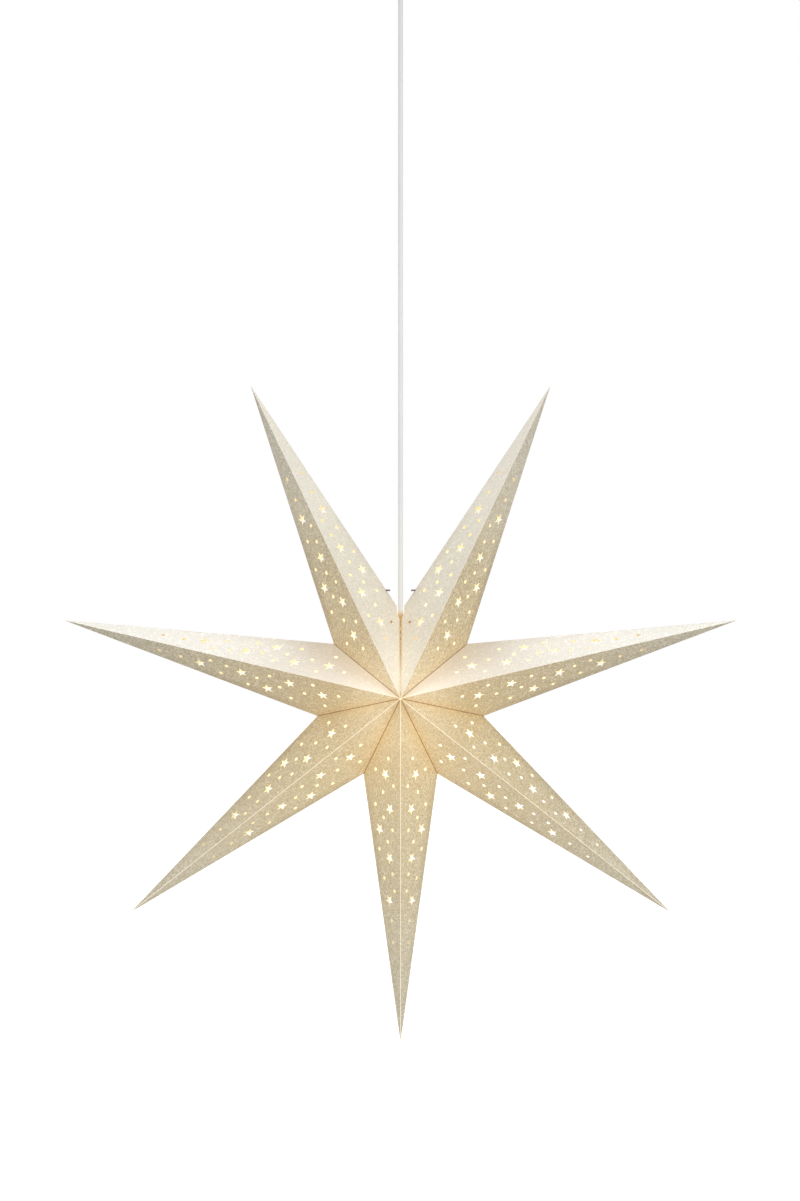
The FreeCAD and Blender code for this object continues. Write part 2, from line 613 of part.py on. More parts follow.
def holder_conductors():
    """The cord's two cores below its end, down into the holder's core."""
    drop = Placement(Vector(0, 0, -amount("star_drop")), Rotation())
    top = amount("cap_top - nipple_length / 2 - running_gap")
    foot = amount("core_top - holder_wire_depth")
    bend = amount("conductor_bend / 2")
    step = amount("holder_wire_spread / 2")
    for name, side in (("holder_core_live", -1), ("holder_core_neutral", 1)):
        near = side * amount("conductor_offset")
        far = side * amount("holder_pole_offset")
        over = (top + amount("core_top")) / 2
        route = [Vector(near, 0, top), Vector(near, 0, over + step), Vector(far, 0, over - step),
                 Vector(far, 0, foot)]
        shape = bent_rod(route, amount("conductor_radius"), bend)
        subpart(name, shaped(name, shape, drop))


# ---- bulb ------------------------------------------------------------------------------------

def bulb_glass():
    def envelope(name, shrink):
        radius = f"(bulb_radius - {shrink})"
        root = f"bulb_centre + {radius} * cos(neck_angle)"
        pieces = [
            ball(name + "_ball", radius, ("0", "0", "bulb_centre")),
            cone(name + "_neck", f"{radius} * sin(neck_angle)", f"neck_radius - {shrink}",
                 f"neck_top - {shrink} - ({root})", ("0", "0", root)),
            rod(name + "_mouth", f"cap_radius - cap_thread_depth - cap_wall - {shrink}",
                f"neck_in_cap + {shrink} + lap", ("0", "0", f"neck_top - {shrink} - lap"))]
        return fuse(name, *pieces)
    glass = cut("glass_cut", envelope("glass_outside", "0"), envelope("glass_inside", "glass_wall"))
    subpart("bulb_glass", in_star(glass))


def bulb_cap():
    deep = "cap_radius - cap_thread_depth"
    outline = [(deep, "bulb_cap_bottom")]
    inner = [(f"{deep} - cap_wall", "bulb_cap_bottom")]
    first = "bulb_cap_bottom + cap_plain"
    for ridge in range(int(amount("cap_thread_turns"))):
        crest = f"{first} + {ridge} * cap_thread_pitch + cap_thread_pitch / 2"
        root = f"{first} + {ridge} * cap_thread_pitch"
        outline += [(deep, root), ("cap_radius", crest)]
        inner += [(f"{deep} - cap_wall", root), ("cap_radius - cap_wall", crest)]
    last = f"{first} + cap_thread_turns * cap_thread_pitch"
    outline += [(deep, last), ("insulator_radius + cap_wall", "insulator_bottom")]
    inner += [(f"{deep} - cap_wall", last), ("insulator_radius", "insulator_bottom")]
    subpart("bulb_cap", in_star(turned("bulb_cap_body", outline + inner[::-1])))
    subpart("bulb_insulator", in_star(turned("insulator_body", (
        ("0", "insulator_bottom"), ("insulator_radius", "insulator_bottom"),
        ("insulator_top_radius", "insulator_top"), ("0", "insulator_top")))))
    subpart("bulb_contact", in_star(turned("bulb_contact_body", (
        ("0", "insulator_top"), ("bulb_contact_radius", "insulator_top"),
        ("bulb_contact_radius - contact_bevel", "bulb_contact_top"), ("0", "bulb_contact_top")))))


def bulb_filaments():
    flare = "cap_radius - cap_thread_depth - cap_wall - glass_wall - running_gap"
    subpart("bulb_stem", in_star(turned("bulb_stem_body", (
        ("0", "bulb_stem_bottom"), ("bulb_stem_radius", "bulb_stem_bottom"),
        ("bulb_stem_radius", "neck_top - bulb_stem_flare"), (flare, "neck_top"),
        ("0", "neck_top")))))
    count = int(amount("filament_count"))
    sticks = []
    leads = []
    foot = "filament_top - filament_length"
    for turn in range(count):
        angle = f"{turn} * 360 / filament_count"
        across = f"filament_circle * cos({angle})"
        deep = f"filament_circle * sin({angle})"
        sticks.append(rod(f"filament_{turn}", "filament_radius", "filament_length",
                          (across, deep, foot)))
    subpart("bulb_filaments", in_star(group("filament_set", *sticks)))
    circle = amount("filament_circle")
    wire = amount("lead_radius")
    low = amount(foot)
    top = Vector(0, 0, amount("filament_top"))
    hub_size = amount("lead_hub")
    level = Vector(0, 0, amount("bulb_stem_bottom - lead_hub / 2"))
    spider = []
    for turn in range(count):
        angle = 2 * math.pi * turn / count
        out = Vector(math.cos(angle), math.sin(angle), 0)
        spider.append(bent_rod([level + out * (hub_size / 2), level + out * circle,
                                top + out * circle], wire, amount("lead_bend")))
    hub = Part.makeCylinder(hub_size, hub_size, level - Vector(0, 0, hub_size / 2))
    upper = hub.multiFuse(spider)
    lower = Part.makeTorus(circle, wire, Vector(0, 0, low - wire))
    drop = Placement(Vector(0, 0, -amount("star_drop")), Rotation())
    subpart("bulb_leads", shaped("bulb_leads", Part.makeCompound([upper, lower]), drop))


# ---- hanger wire and seam clips --------------------------------------------------------------

def hanger_wire():
    """A ring round the holder's thread, and two arms that rise inside the top rays."""
    wire = amount("hanger_wire / 2")
    ring_height = amount("cap_top + hanger_wire / 2")
    ring = amount("hanger_ring_radius")
    hang = amount("hang_height")
    spread = amount("hanger_spread")
    tip = amount("hanger_tip")
    arm_start = amount("hanger_ring_radius + hanger_arm_start")
    pieces = [Part.makeTorus(ring, wire, Vector(0, 0, ring_height))]
    for side in (-1, 1):
        route = [Vector(side * tip, 0, hang), Vector(side * spread, 0, hang),
                 Vector(side * arm_start, 0, ring_height), Vector(side * ring, 0, ring_height)]
        pieces.append(bent_rod(route, wire, amount("hanger_bend")))
    shape = pieces[0].multiFuse(pieces[1:])
    drop = Placement(Vector(0, 0, -amount("star_drop")), Rotation())
    subpart("hanger_wire", shaped("hanger_wire", shape, drop))


def seam_clips(surface):
    """Wire staples that close the top seam from inside, with their ends out of the paper."""
    wire = amount("clip_wire / 2")
    spread = amount("clip_spread")
    height = amount("clip_height")
    bridge = amount("clip_bridge_inset")
    paper_face = surface(spread, height)
    leg = paper_face - amount("clip_inset")
    out = paper_face + amount("clip_proud")
    drop = Placement(Vector(0, 0, -amount("star_drop")), Rotation())
    for name, side in (("seam_clip_front", -1), ("seam_clip_back", 1)):
        low = height - amount("clip_drop")
        half = [Vector(spread, side * out, height), Vector(spread, side * leg, height),
                Vector(spread, side * bridge, low)]
        other = [Vector(-spot.x, spot.y, spot.z) for spot in reversed(half)]
        shape = bent_rod(half + other, wire, amount("clip_bend"))
        subpart(name, shaped(name, shape, drop))


# ---- the folded-paper star -------------------------------------------------------------------

class Star:
    """Geometry of one ray, drawn upright: Z along the ray, X across it, Y through the star."""

    def __init__(self):
        self.sector = math.pi / len(RAY_NAMES)
        self.tip = amount("tip_radius")
        self.notch = amount("notch_radius")
        self.depth = amount("half_depth")
        self.paper = amount("paper")
        self.notch_side = self.notch * math.sin(self.sector)
        self.notch_up = self.notch * math.cos(self.sector)
        self.along_slope = self.depth / self.tip
        self.side_slope = (self.depth - self.along_slope * self.notch_up) / self.notch_side
        self.steepness = math.sqrt(1 + self.along_slope ** 2 + self.side_slope ** 2)
        self.inner_share = 1 - self.paper * self.steepness / self.depth

    def corners(self, share):
        """Front apex, tip and notch of one front panel, shrunk towards the star's centre."""
        return (Vector(0, -self.depth, 0) * share, Vector(0, 0, self.tip) * share,
                Vector(self.notch_side, 0, self.notch_up) * share)

    def surface(self, side, up):
        """Distance of a panel's outer face from the middle plane."""
        return self.depth - self.along_slope * up - self.side_slope * side

    def seam_surface(self, across, height):
        """The same near the top seam, at a distance across it and a height above the centre."""
        up = height * math.cos(self.sector) + across * math.sin(self.sector)
        side = height * math.sin(self.sector) - across * math.cos(self.sector)
        return self.surface(side, up)

    def punch_spot(self, along, across):
        up = along * self.tip
        flank = (self.tip - up) * self.notch_side / (self.tip - self.notch_up)
        side = across * min(flank, up * math.tan(self.sector))
        return Vector(side, -self.surface(side, up), up)


def solid_between(faces):
    shell = Part.makeShell([Part.Face(Part.makePolygon(list(face) + [face[0]])) for face in faces])
    solid = Part.makeSolid(shell)
    if solid.Volume < 0:
        solid.reverse()
    return solid


def punches(star):
    """Cutters for one front panel: round dots, and stars with one point towards the tip."""
    inward = Vector(-star.side_slope, 1, -star.along_slope).normalize()
    tipward = Vector(0, star.along_slope, 1).normalize()
    sideways = inward.cross(tipward)
    reach = inward * (star.paper + amount("2 * cut_margin"))
    tools = []
    for along, across in DOTS:
        start = star.punch_spot(along, across) - inward * amount("cut_margin")
        tools.append(Part.makeCylinder(amount("dot_radius"), reach.Length, start, inward))
    radii = (amount("star_cut_radius"), amount("star_cut_waist"))
    for along, across in STARS:
        start = star.punch_spot(along, across) - inward * amount("cut_margin")
        points = []
        for corner in range(2 * STAR_POINTS):
            angle = math.pi * corner / STAR_POINTS
            spoke = tipward * math.cos(angle) + sideways * math.sin(angle)
            points.append(start + spoke * radii[corner % 2])
        outline = Part.Face(Part.makePolygon(points + points[:1]))
        tools.append(outline.extrude(reach))
    return tools


def paper_panel(star):
    """One flat panel: apex, tip and notch, mitred at the ridge, the edge fold and the seam."""
    apex, tip, notch = star.corners(1)
    in_apex, in_tip, in_notch = star.corners(star.inner_share)
    panel = solid_between(((apex, tip, notch), (in_apex, in_tip, in_notch),
                           (apex, tip, in_tip, in_apex), (apex, notch, in_notch, in_apex),
                           (tip, notch, in_notch, in_tip)))
    gap = Part.makeCylinder(amount("apex_gap"), 2 * star.depth, Vector(0, -2 * star.depth, 0),
                            Vector(0, 1, 0))
    return panel.cut([gap] + punches(star))


def glue_flap(star):
    """The strip folded inwards along the seam, glued to the next ray's strip."""
    apex, tip, notch = star.corners(star.inner_share)
    back_apex = Vector(apex.x, -apex.y, apex.z)
    interior = solid_between(((apex, tip, notch), (back_apex, tip, notch),
                              (apex, tip, back_apex), (apex, notch, back_apex)))
    along = Vector(math.sin(star.sector), 0, math.cos(star.sector))
    into_ray = Vector(-math.cos(star.sector), 0, math.sin(star.sector))
    slope = math.sqrt(1 / star.notch ** 2 + 1 / star.depth ** 2)
    edge_share = star.inner_share - amount("flap_width") * slope
    outer_share = star.inner_share + amount("cut_margin") * slope
    start = amount("flap_start")

    def spot(height, share):
        return along * height + Vector(0, -star.depth * (share - height / star.notch), 0)

    outline = [spot(start, outer_share), along * (star.notch * outer_share),
               along * (star.notch * edge_share), spot(start, edge_share)]
    strip = Part.Face(Part.makePolygon(outline + outline[:1])).extrude(into_ray * star.paper)
    return strip.common(interior)


def mirrored(shape, axis):
    return shape.mirror(Vector(0, 0, 0), axis)


def top_seam_cutters(star):
    """What is cut from the two top rays, about the star's centre: the cord's opening, the open
    slit, the holes of the hanger's tips and those of the seam clips."""
    side = amount("cord_radius + opening_side_gap")
    front = amount("cord_radius + opening_front_gap")
    low = star.notch / 2
    high = star.notch * 2
    middle = Part.makeBox(2 * side, 2 * (front - side), high - low,
                          Vector(-side, side - front, low))
    ends = [Part.makeCylinder(side, high - low, Vector(0, end * (front - side), low))
            for end in (-1, 1)]
    width = amount("slit_width")
    foot = star.notch - amount("slit_length")
    slit_outline = [Vector(-width / 2, -star.depth, star.notch), Vector(0, -star.depth, foot),
                    Vector(width / 2, -star.depth, star.notch)]
    slit_face = Part.Face(Part.makePolygon(slit_outline + slit_outline[:1]))
    slit = slit_face.extrude(Vector(0, 2 * star.depth, 0))
    hang = amount("hang_height")
    spread = amount("hanger_spread")
    hanger_hole = Part.makeCylinder(amount("hanger_wire / 2 + hanger_hole_gap"), 2 * spread,
                                    Vector(-spread, 0, hang), Vector(1, 0, 0))
    clip_holes = [Part.makeCylinder(amount("clip_wire / 2 + clip_hole_gap"), 2 * star.depth,
                                    Vector(end * amount("clip_spread"), -star.depth,
                                           amount("clip_height")), Vector(0, 1, 0))
                  for end in (-1, 1)]
    return [middle, slit, hanger_hole] + ends + clip_holes


def paper_star(star):
    panel = paper_panel(star)
    flap = glue_flap(star)
    across = Vector(1, 0, 0)
    through = Vector(0, 1, 0)
    right_panels = [panel, mirrored(panel, through)]
    left_panels = [mirrored(piece, across) for piece in right_panels]
    right_flaps = [flap, mirrored(flap, through)]
    left_flaps = [mirrored(piece, across) for piece in right_flaps]
    cutters = top_seam_cutters(star)
    for step, name in enumerate(RAY_NAMES):
        turn = Rotation(Vector(0, 1, 0), 180 + step * 360 / len(RAY_NAMES))
        panels = right_panels + left_panels
        flaps = right_flaps + left_flaps
        if name in ("ray_top_left", "ray_top_right"):
            turned_back = Placement(Vector(), turn).inverse().toMatrix()
            tools = [tool.transformed(turned_back) for tool in cutters]
            panels = [piece.cut(tools) for piece in panels]
            flaps = left_flaps if name == "ray_top_left" else right_flaps
        placement = Placement(Vector(0, 0, -amount("star_drop")), turn)
        subpart(name, shaped(name, Part.makeCompound(panels + flaps), placement))


ceiling_bracket()
canopy()
canopy_grip()
terminals()
canopy_conductors()
cord()
holder_shell()
holder_inside()
holder_grip()
holder_conductors()
bulb_glass()
bulb_cap()
bulb_filaments()
hanger_wire()
the_star = Star()
seam_clips(the_star.seam_surface)
paper_star(the_star)

doc.recompute()
for item in doc.Objects:
    if "Invalid" in item.State or "Error" in item.State:
        raise RuntimeError(f"{item.Label} failed: {item.State}")
for item in subparts:
    if item.Shape.isNull() or not item.Shape.isValid() or not item.Shape.Solids:
        raise RuntimeError(f"{item.Label} has no valid solid")

os.makedirs("parts", exist_ok=True)
for item in subparts:
    item.Shape.exportStep(f"parts/{item.Label}.step")
    print(f"{item.Label}: {len(item.Shape.Solids)} solid(s), {item.Shape.Volume:.1f} mm3")
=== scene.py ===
# %% [markdown]
# # A folded-paper star pendant
#
# The lamp is a star of seven hollow paper rays, punched with small dots and stars. A small bulb
# shines inside, and the star hangs on a straight white cord from a cup on the ceiling. The CAD
# model is loaded here as a fixed frame, with its pieces in place, at sizes estimated from a
# photograph. What the photograph hides is guessed: the cup, the holder, the bulb and the back.
# This lesson adds what the eye looks for: thin folded paper, its grain and its glow.

# %% Load the CAD model
import math
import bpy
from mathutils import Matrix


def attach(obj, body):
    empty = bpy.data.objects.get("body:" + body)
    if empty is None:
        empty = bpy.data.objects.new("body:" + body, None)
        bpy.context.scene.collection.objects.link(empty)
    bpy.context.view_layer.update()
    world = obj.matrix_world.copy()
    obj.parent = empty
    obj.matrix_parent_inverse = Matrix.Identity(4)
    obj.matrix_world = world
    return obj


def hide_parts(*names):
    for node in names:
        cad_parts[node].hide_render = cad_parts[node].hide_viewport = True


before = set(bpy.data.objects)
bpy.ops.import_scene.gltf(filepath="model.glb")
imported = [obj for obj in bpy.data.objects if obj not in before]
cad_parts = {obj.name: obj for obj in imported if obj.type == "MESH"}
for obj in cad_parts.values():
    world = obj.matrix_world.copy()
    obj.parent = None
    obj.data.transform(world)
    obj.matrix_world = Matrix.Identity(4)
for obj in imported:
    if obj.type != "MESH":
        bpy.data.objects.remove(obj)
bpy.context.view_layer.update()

from types import SimpleNamespace

import bmesh
import bpy
from mathutils import Matrix, Vector

# %% [markdown]
# ## The camera
#
# The lamp is seen straight on, from a few metres away, at the height of the picture's middle. A
# nearer, wider lens would make the star's front swell.

# %% Camera
STAR_CENTRE = Vector((0, 0, -0.862))
VIEW_DISTANCE = 4.5
VIEW_HEIGHT = 1.339
VIEW_MIDDLE = 0.1076


def in_scene(name, data):
    """A new object with this data, linked to the scene."""
    made = bpy.data.objects.new(name, data)
    bpy.context.scene.collection.objects.link(made)
    return made


eye = bpy.data.cameras.new("eye")
eye.sensor_width = 36
eye.lens = eye.sensor_width * VIEW_DISTANCE / VIEW_HEIGHT
camera = in_scene("camera", eye)
camera.location = STAR_CENTRE + Vector((-0.0006, -VIEW_DISTANCE, VIEW_MIDDLE))
camera.rotation_euler = (math.pi / 2, 0, 0)
bpy.context.scene.camera = camera
print(f"lens {eye.lens:.1f} mm at {VIEW_DISTANCE} m")

# %% [markdown]
# ## The cord
#
# A round white cord with a smooth plastic sheath. The star's weight pulls it straight, so one long
# run is right, with no waves in it. It is a NURBS curve with a round bevel, because a curve keeps
# its true length and thickness. It starts in the mouth of the ceiling's grip, where the cord bends
# when the star swings, and ends inside the lamp holder's grip. Its material is empty for now, and
# gets its nodes with the other plastics.

# %% Cord
CORD_DIAMETER = 0.0056
CORD_TOP = -0.062
CORD_FOOT = -0.802
CORD_BETWEEN = (-0.12, -0.74)
SHEATH = bpy.data.materials.new("sheath_white")


def straight_cord(name, heights):
    """A round cord down the lamp's axis, through these heights."""
    curve = bpy.data.curves.new(name, "CURVE")
    curve.dimensions = "3D"
    line = curve.splines.new("NURBS")
    line.points.add(len(heights) - 1)
    for point, height in zip(line.points, heights):
        point.co = (0, 0, height, 1)
    line.order_u = 3
    line.use_endpoint_u = True
    line.resolution_u = 12
    curve.bevel_depth = CORD_DIAMETER / 2
    curve.bevel_resolution = 6
    curve.use_fill_caps = True
    curve.materials.append(SHEATH)
    return in_scene(name, curve)


cord = straight_cord("cord_run", (CORD_TOP, *CORD_BETWEEN, CORD_FOOT))
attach(cord, "cord_run")
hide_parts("cord")
print(f"cord: {CORD_TOP - CORD_FOOT:.3f} m, {CORD_DIAMETER * 1000:.1f} mm thick")

# %% [markdown]
# ## The cord inside its grip
#
# Above the bend the cord goes on through the grip and ends in the canopy, where its sheath is cut
# back. This short end stays still when the star swings. Between it and the hanging run, a few
# millimetres of sheath bend in the grip's mouth. A small stretched ball covers that place at any
# swing, where two straight tubes would show a gap. The end stops a millimetre short of the run, so
# the run's tilted top never cuts into it.

# %% Cord's end and bend
CORD_IN_GRIP = (-0.038, -0.046, -0.054)
SWING_CLEARANCE = 0.0012
BEND_RADIUS = 0.0029
BEND_STRETCH = 1.15

cord_end = straight_cord("cord_in_grip", (*CORD_IN_GRIP, CORD_TOP + SWING_CLEARANCE))
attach(cord_end, "ceiling")
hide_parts("cord_tail")

bend_shape = bmesh.new()
bmesh.ops.create_uvsphere(bend_shape, u_segments=24, v_segments=14, radius=BEND_RADIUS)
stretched = Matrix.Scale(BEND_STRETCH, 4, (0, 0, 1))
bmesh.ops.transform(bend_shape, verts=bend_shape.verts,
                    matrix=Matrix.Translation((0, 0, CORD_TOP)) @ stretched)
for face in bend_shape.faces:
    face.smooth = True
bend_mesh = bpy.data.meshes.new("cord_bend_sleeve")
bend_shape.to_mesh(bend_mesh)
bend_mesh.materials.append(SHEATH)
bend_shape.free()
cord_bend = in_scene("cord_bend_sleeve", bend_mesh)
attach(cord_bend, "cord_bend")
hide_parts("cord_flex")
print("cord in its grip: end and bend")

# %% [markdown]
# ## A helper for node trees
#
# Every material and every folded shape below is a tree of nodes. A small helper keeps the scripts
# short: it adds a node, sets its options, and joins or fills its sockets by name or number.

# %% Node helper
class Wiring:
    """Adds nodes to a tree and joins them."""

    def __init__(self, tree):
        self.tree = tree

    def node(self, kind, sockets=None, **options):
        made = self.tree.nodes.new(kind)
        for option, value in options.items():
            setattr(made, option, value)
        for key, value in (sockets or {}).items():
            if isinstance(value, bpy.types.NodeSocket):
                self.tree.links.new(value, made.inputs[key])
            else:
                made.inputs[key].default_value = value
        return made

    def math(self, operation, *values):
        return self.node("ShaderNodeMath", dict(enumerate(values)), operation=operation).outputs[0]

    def vector(self, operation, *values):
        made = self.node("ShaderNodeVectorMath", dict(enumerate(values)), operation=operation)
        return made.outputs["Value" if operation in ("LENGTH", "DOT_PRODUCT") else "Vector"]

    def scaled(self, vector, amount):
        made = self.node("ShaderNodeVectorMath", {0: vector, "Scale": amount}, operation="SCALE")
        return made.outputs["Vector"]

    def fade(self, value, start, end, first=1.0, last=0.0, kind="SMOOTHSTEP"):
        """first up to start, last from end on, and a smooth change between them."""
        sockets = {0: value, 1: start, 2: end, 3: first, 4: last}
        return self.node("ShaderNodeMapRange", sockets, interpolation_type=kind).outputs[0]

    def rise(self, value, start, end):
        """0 up to start, 1 from end on."""
        return self.fade(value, start, end, 0.0, 1.0)

    def line(self, value, gain, start):
        """start plus gain times the value."""
        return self.math("MULTIPLY_ADD", value, gain, start)

    def times(self, product, *others):
        for other in others:
            product = self.math("MULTIPLY", product, other)
        return product

    def mixed(self, share, low, high, blend="MIX"):
        made = self.node("ShaderNodeMix", {0: share, 6: low, 7: high}, data_type="RGBA",
                         blend_type=blend)
        return made.outputs[2]

    def tinted(self, share, colour, tint):
        """The colour, multiplied by the tint where the share is 1."""
        return self.mixed(share, colour, self.mixed(1.0, colour, tint, "MULTIPLY"))

    def place(self):
        """A point in the piece's own space."""
        return self.node("ShaderNodeTexCoord").outputs["Object"]

    def split(self, vector):
        return self.node("ShaderNodeSeparateXYZ", {0: vector}).outputs

    def joined(self, sockets):
        return self.node("ShaderNodeCombineXYZ", sockets).outputs[0]

    def noise(self, place, scale, detail, **sockets):
        sockets = {"Vector": place, "Scale": scale, "Detail": detail, **sockets}
        return self.node("ShaderNodeTexNoise", sockets).outputs[0]

    def stored(self, geometry, name, value, domain, kind="FLOAT"):
        """The geometry with a value written into it under this name."""
        return self.node("GeometryNodeStoreNamedAttribute", {
            "Geometry": geometry, "Name": name, "Value": value}, data_type=kind,
            domain=domain).outputs[0]

    def noted(self, name, output="Fac"):
        """What a mesh attribute says."""
        return self.node("ShaderNodeAttribute", attribute_name=name).outputs[output]


def shader(name):
    """The material of this name, new or made before, with no nodes yet, and its wiring."""
    material = bpy.data.materials.get(name) or bpy.data.materials.new(name)
    material.use_nodes = True
    material.node_tree.nodes.clear()
    return material, Wiring(material.node_tree)


def show(wiring, surface):
    wiring.node("ShaderNodeOutputMaterial", {"Surface": surface})


print("helper ready")

# %% [markdown]
# ## The studio
#
# The star is shown in a plain white room. A wide soft lamp above strikes the upper panels of the
# side rays. A broad weak lamp in front, a little to the right, and the pale room fill the rest. The
# floor glows, and the room is fully white, only to the camera, in reflections and through glass:
# that keeps the background white without flooding the paper with light. A hanging star is also
# looked at from below, so the floor is clear from its underside.

# %% Studio
FLOOR_HEIGHT = -1.75
FLOOR_REACH = 30
FLOOR_COLOUR = (0.62, 0.61, 0.60, 1)
WHITE = (1, 1, 1, 1)
ROOM_AS_LIGHT, ROOM_AS_SEEN = 0.77, 1.0
LAMPS = (("lamp_above", (0, 0.05, 1.6), 1.1, 31), ("lamp_in_front", (1.6, -4.1, -0.7), 2.6, 38))


def soft_lamp(name, place, size, power):
    """A round lamp that faces the star. The size is in metres and the power in watts."""
    light = bpy.data.lights.new(name, "AREA")
    light.shape = "DISK"
    light.size = size
    light.energy = power
    lamp = in_scene(name, light)
    lamp.location = place
    lamp.rotation_euler = (STAR_CENTRE - Vector(place)).to_track_quat("-Z", "Y").to_euler()


for lamp in LAMPS:
    soft_lamp(*lamp)


def seen_directly(wiring):
    """1 for rays of the camera and for those reflected or let through by the lamp."""
    path = wiring.node("ShaderNodeLightPath")
    seen = wiring.math("MAXIMUM", path.outputs["Is Camera Ray"], path.outputs["Is Glossy Ray"])
    return wiring.math("MAXIMUM", seen, path.outputs["Is Transmission Ray"])


room = bpy.data.worlds.new("white_room")
room.use_nodes = True
room.node_tree.nodes.clear()
wiring = Wiring(room.node_tree)
strength = wiring.line(seen_directly(wiring), ROOM_AS_SEEN - ROOM_AS_LIGHT, ROOM_AS_LIGHT)
background = wiring.node("ShaderNodeBackground", {"Color": WHITE, "Strength": strength})
wiring.node("ShaderNodeOutputWorld", {"Surface": background.outputs[0]})
bpy.context.scene.world = room

floor_paint, wiring = shader("floor_paint")
lit = wiring.node("ShaderNodeBsdfDiffuse", {"Color": FLOOR_COLOUR})
lift = wiring.fade(wiring.vector("LENGTH", wiring.place()), 1.2, 2.4, 0.45, 0.85)
white = wiring.node("ShaderNodeEmission", {
    "Color": WHITE, "Strength": wiring.times(seen_directly(wiring), lift)})
above = wiring.node("ShaderNodeAddShader", {0: lit.outputs[0], 1: white.outputs[0]})
underside = wiring.node("ShaderNodeNewGeometry").outputs["Backfacing"]
show(wiring, wiring.node("ShaderNodeMixShader", {
    0: underside, 1: above.outputs[0],
    2: wiring.node("ShaderNodeBsdfTransparent").outputs[0]}).outputs[0])

corners = [(x * FLOOR_REACH, y * FLOOR_REACH, FLOOR_HEIGHT)
           for x, y in ((-1, -1), (1, -1), (1, 1), (-1, 1))]
floor_mesh = bpy.data.meshes.new("floor")
floor_mesh.from_pydata(corners, [], [(0, 1, 2, 3)])
floor_mesh.materials.append(floor_paint)
floor = in_scene("floor", floor_mesh)
bpy.context.scene.view_settings.view_transform = "Standard"
print(f"studio: {len(LAMPS)} lamps, white room, floor at {FLOOR_HEIGHT}")

# %% [markdown]
# ## The paper's finish
#
# The star is cut from a stiff cream paper with a pearly, gritty coat: up close it is a fine salt
# and pepper of pale and tan flecks. Lit from inside, the paper near the bulb turns a warm honey
# colour that fades towards the tips: this light is painted, in the base colour and as a glow. The
# joints between rays leak amber, painted as light along the open top joint. Folds are worn paler,
# with a little painted glow along the worn line, and glued joints look like thin brown lines.
#
# All of this could be painted into an image, but the pattern would then belong to one picture.
# Here the flecks are noise in the object's own space, the bulb's glow is painted as a function of
# the distance to the bulb, and the lines read how far a point is from its fold. The folding tree
# below writes those distances into the mesh. It also marks the panels that the lamp above strikes.
# They are painted paler as well, painted light, since soft light alone leaves them darker than the
# photograph shows. Shade is painted too: along the edge folds, beside the joints near the middle
# and on the inner faces near the cord's opening.

# %% Tones of the paper
COOL = (0.21, 0.184, 0.120, 1), (0.66, 0.618, 0.470, 1)
WARM = (0.22, 0.180, 0.090, 1), (0.66, 0.585, 0.360, 1)
# Tones painted paler on the panels that the lamp above strikes: painted light.
PAINTED_LIT_TONES = (0.52, 0.492, 0.405, 1), (0.72, 0.69, 0.595, 1)
PAINTED_SIDE_LIT_TONES = (0.54, 0.53, 0.475, 1), (0.64, 0.63, 0.58, 1)
PAINTED_GLINT_FLECK = (0.92, 0.88, 0.78, 1)
CLOUD = (0.60, 0.56, 0.44, 1)
WORN_FOLD = (0.95, 0.91, 0.83, 1)
PAINTED_FOLD_SHADE = (0.34, 0.27, 0.17, 1)
EDGE_SHADE = (0.74, 0.72, 0.69, 1)
TOP_LIGHT = (0.96, 0.93, 0.85, 1)
PAINTED_VALLEY_SHADE = (0.96, 0.86, 0.66, 1)
GLUE = (0.28, 0.13, 0.04, 1)
PAINTED_SLIT_LIGHT = (0.52, 0.33, 0.12, 1)
PAINTED_INSIDE_SHADE = (0.44, 0.33, 0.15, 1)

FLECK_SCALE, GRIT_SCALE, PATCH_SCALE, CLOUD_SCALE = 640, 600, 85, 14
GLOW_REACH = 0.105
GLOW_NEAR, GLOW_SPREAD = (1.0, 0.60, 0.25), (1.0, 0.80, 0.45)
GLOW_CORE, GLOW_FOLD = (1.0, 0.95, 0.78), (0.22, 0.17, 0.09)
LAMPLIT_NEAR, LAMPLIT_FAR = (1.0, 0.90, 0.62, 1), (1.0, 0.88, 0.58, 1)
LAMPLIT_DIM, LAMPLIT_OPENING = (0.58, 0.43, 0.15, 1), (0.34, 0.20, 0.05, 1)
print("paper tones ready")

# %% [markdown]
# ## From measures to a finish
#
# The finish is worked out in steps: what a point measures, its grain with painted light, the marks
# of folding and gluing with painted shade and highlights, and the bulb's painted light. `away` is
# the distance from the bulb, `across` the same seen from the front, and `upward` says how steeply a
# point lies above the star's middle, from -1 to 1.

# %% Pearly paper
def paper_measures(w):
    """What the finish reads at a point: places, distances in metres and the mesh's own marks."""
    place = w.place()
    from_bulb = w.vector("SUBTRACT", place, STAR_CENTRE)
    aside, _, up = w.split(from_bulb)
    across = w.math("SQRT", w.line(aside, aside, w.times(up, up)))
    ridge, edge, seam = w.split(w.noted("folds", "Vector"))
    flecks = w.noise(place, FLECK_SCALE, 2.0, Roughness=0.7)
    ragged = w.line(flecks, 0.0006, -0.0003)
    aside = w.math("ABSOLUTE", aside)
    above = w.rise(up, 0.0, 0.012)
    return SimpleNamespace(
        place=place, away=w.vector("LENGTH", from_bulb), up=up, across=across,
        upward=w.math("DIVIDE", up, across), above=above, edge=edge, seam=seam, flecks=flecks,
        ridge_line=w.math("ADD", ridge, ragged), edge_line=w.math("ADD", edge, ragged),
        seam_line=w.math("ADD", seam, ragged),
        cord_line=w.times(w.fade(aside, 0.004, 0.010), above),
        opening=w.times(w.fade(aside, 0.012, 0.030), w.rise(up, 0.030, 0.055)),
        inside=w.noted("inside"), worn=w.noted("worn"), pale=w.noted("pale"))


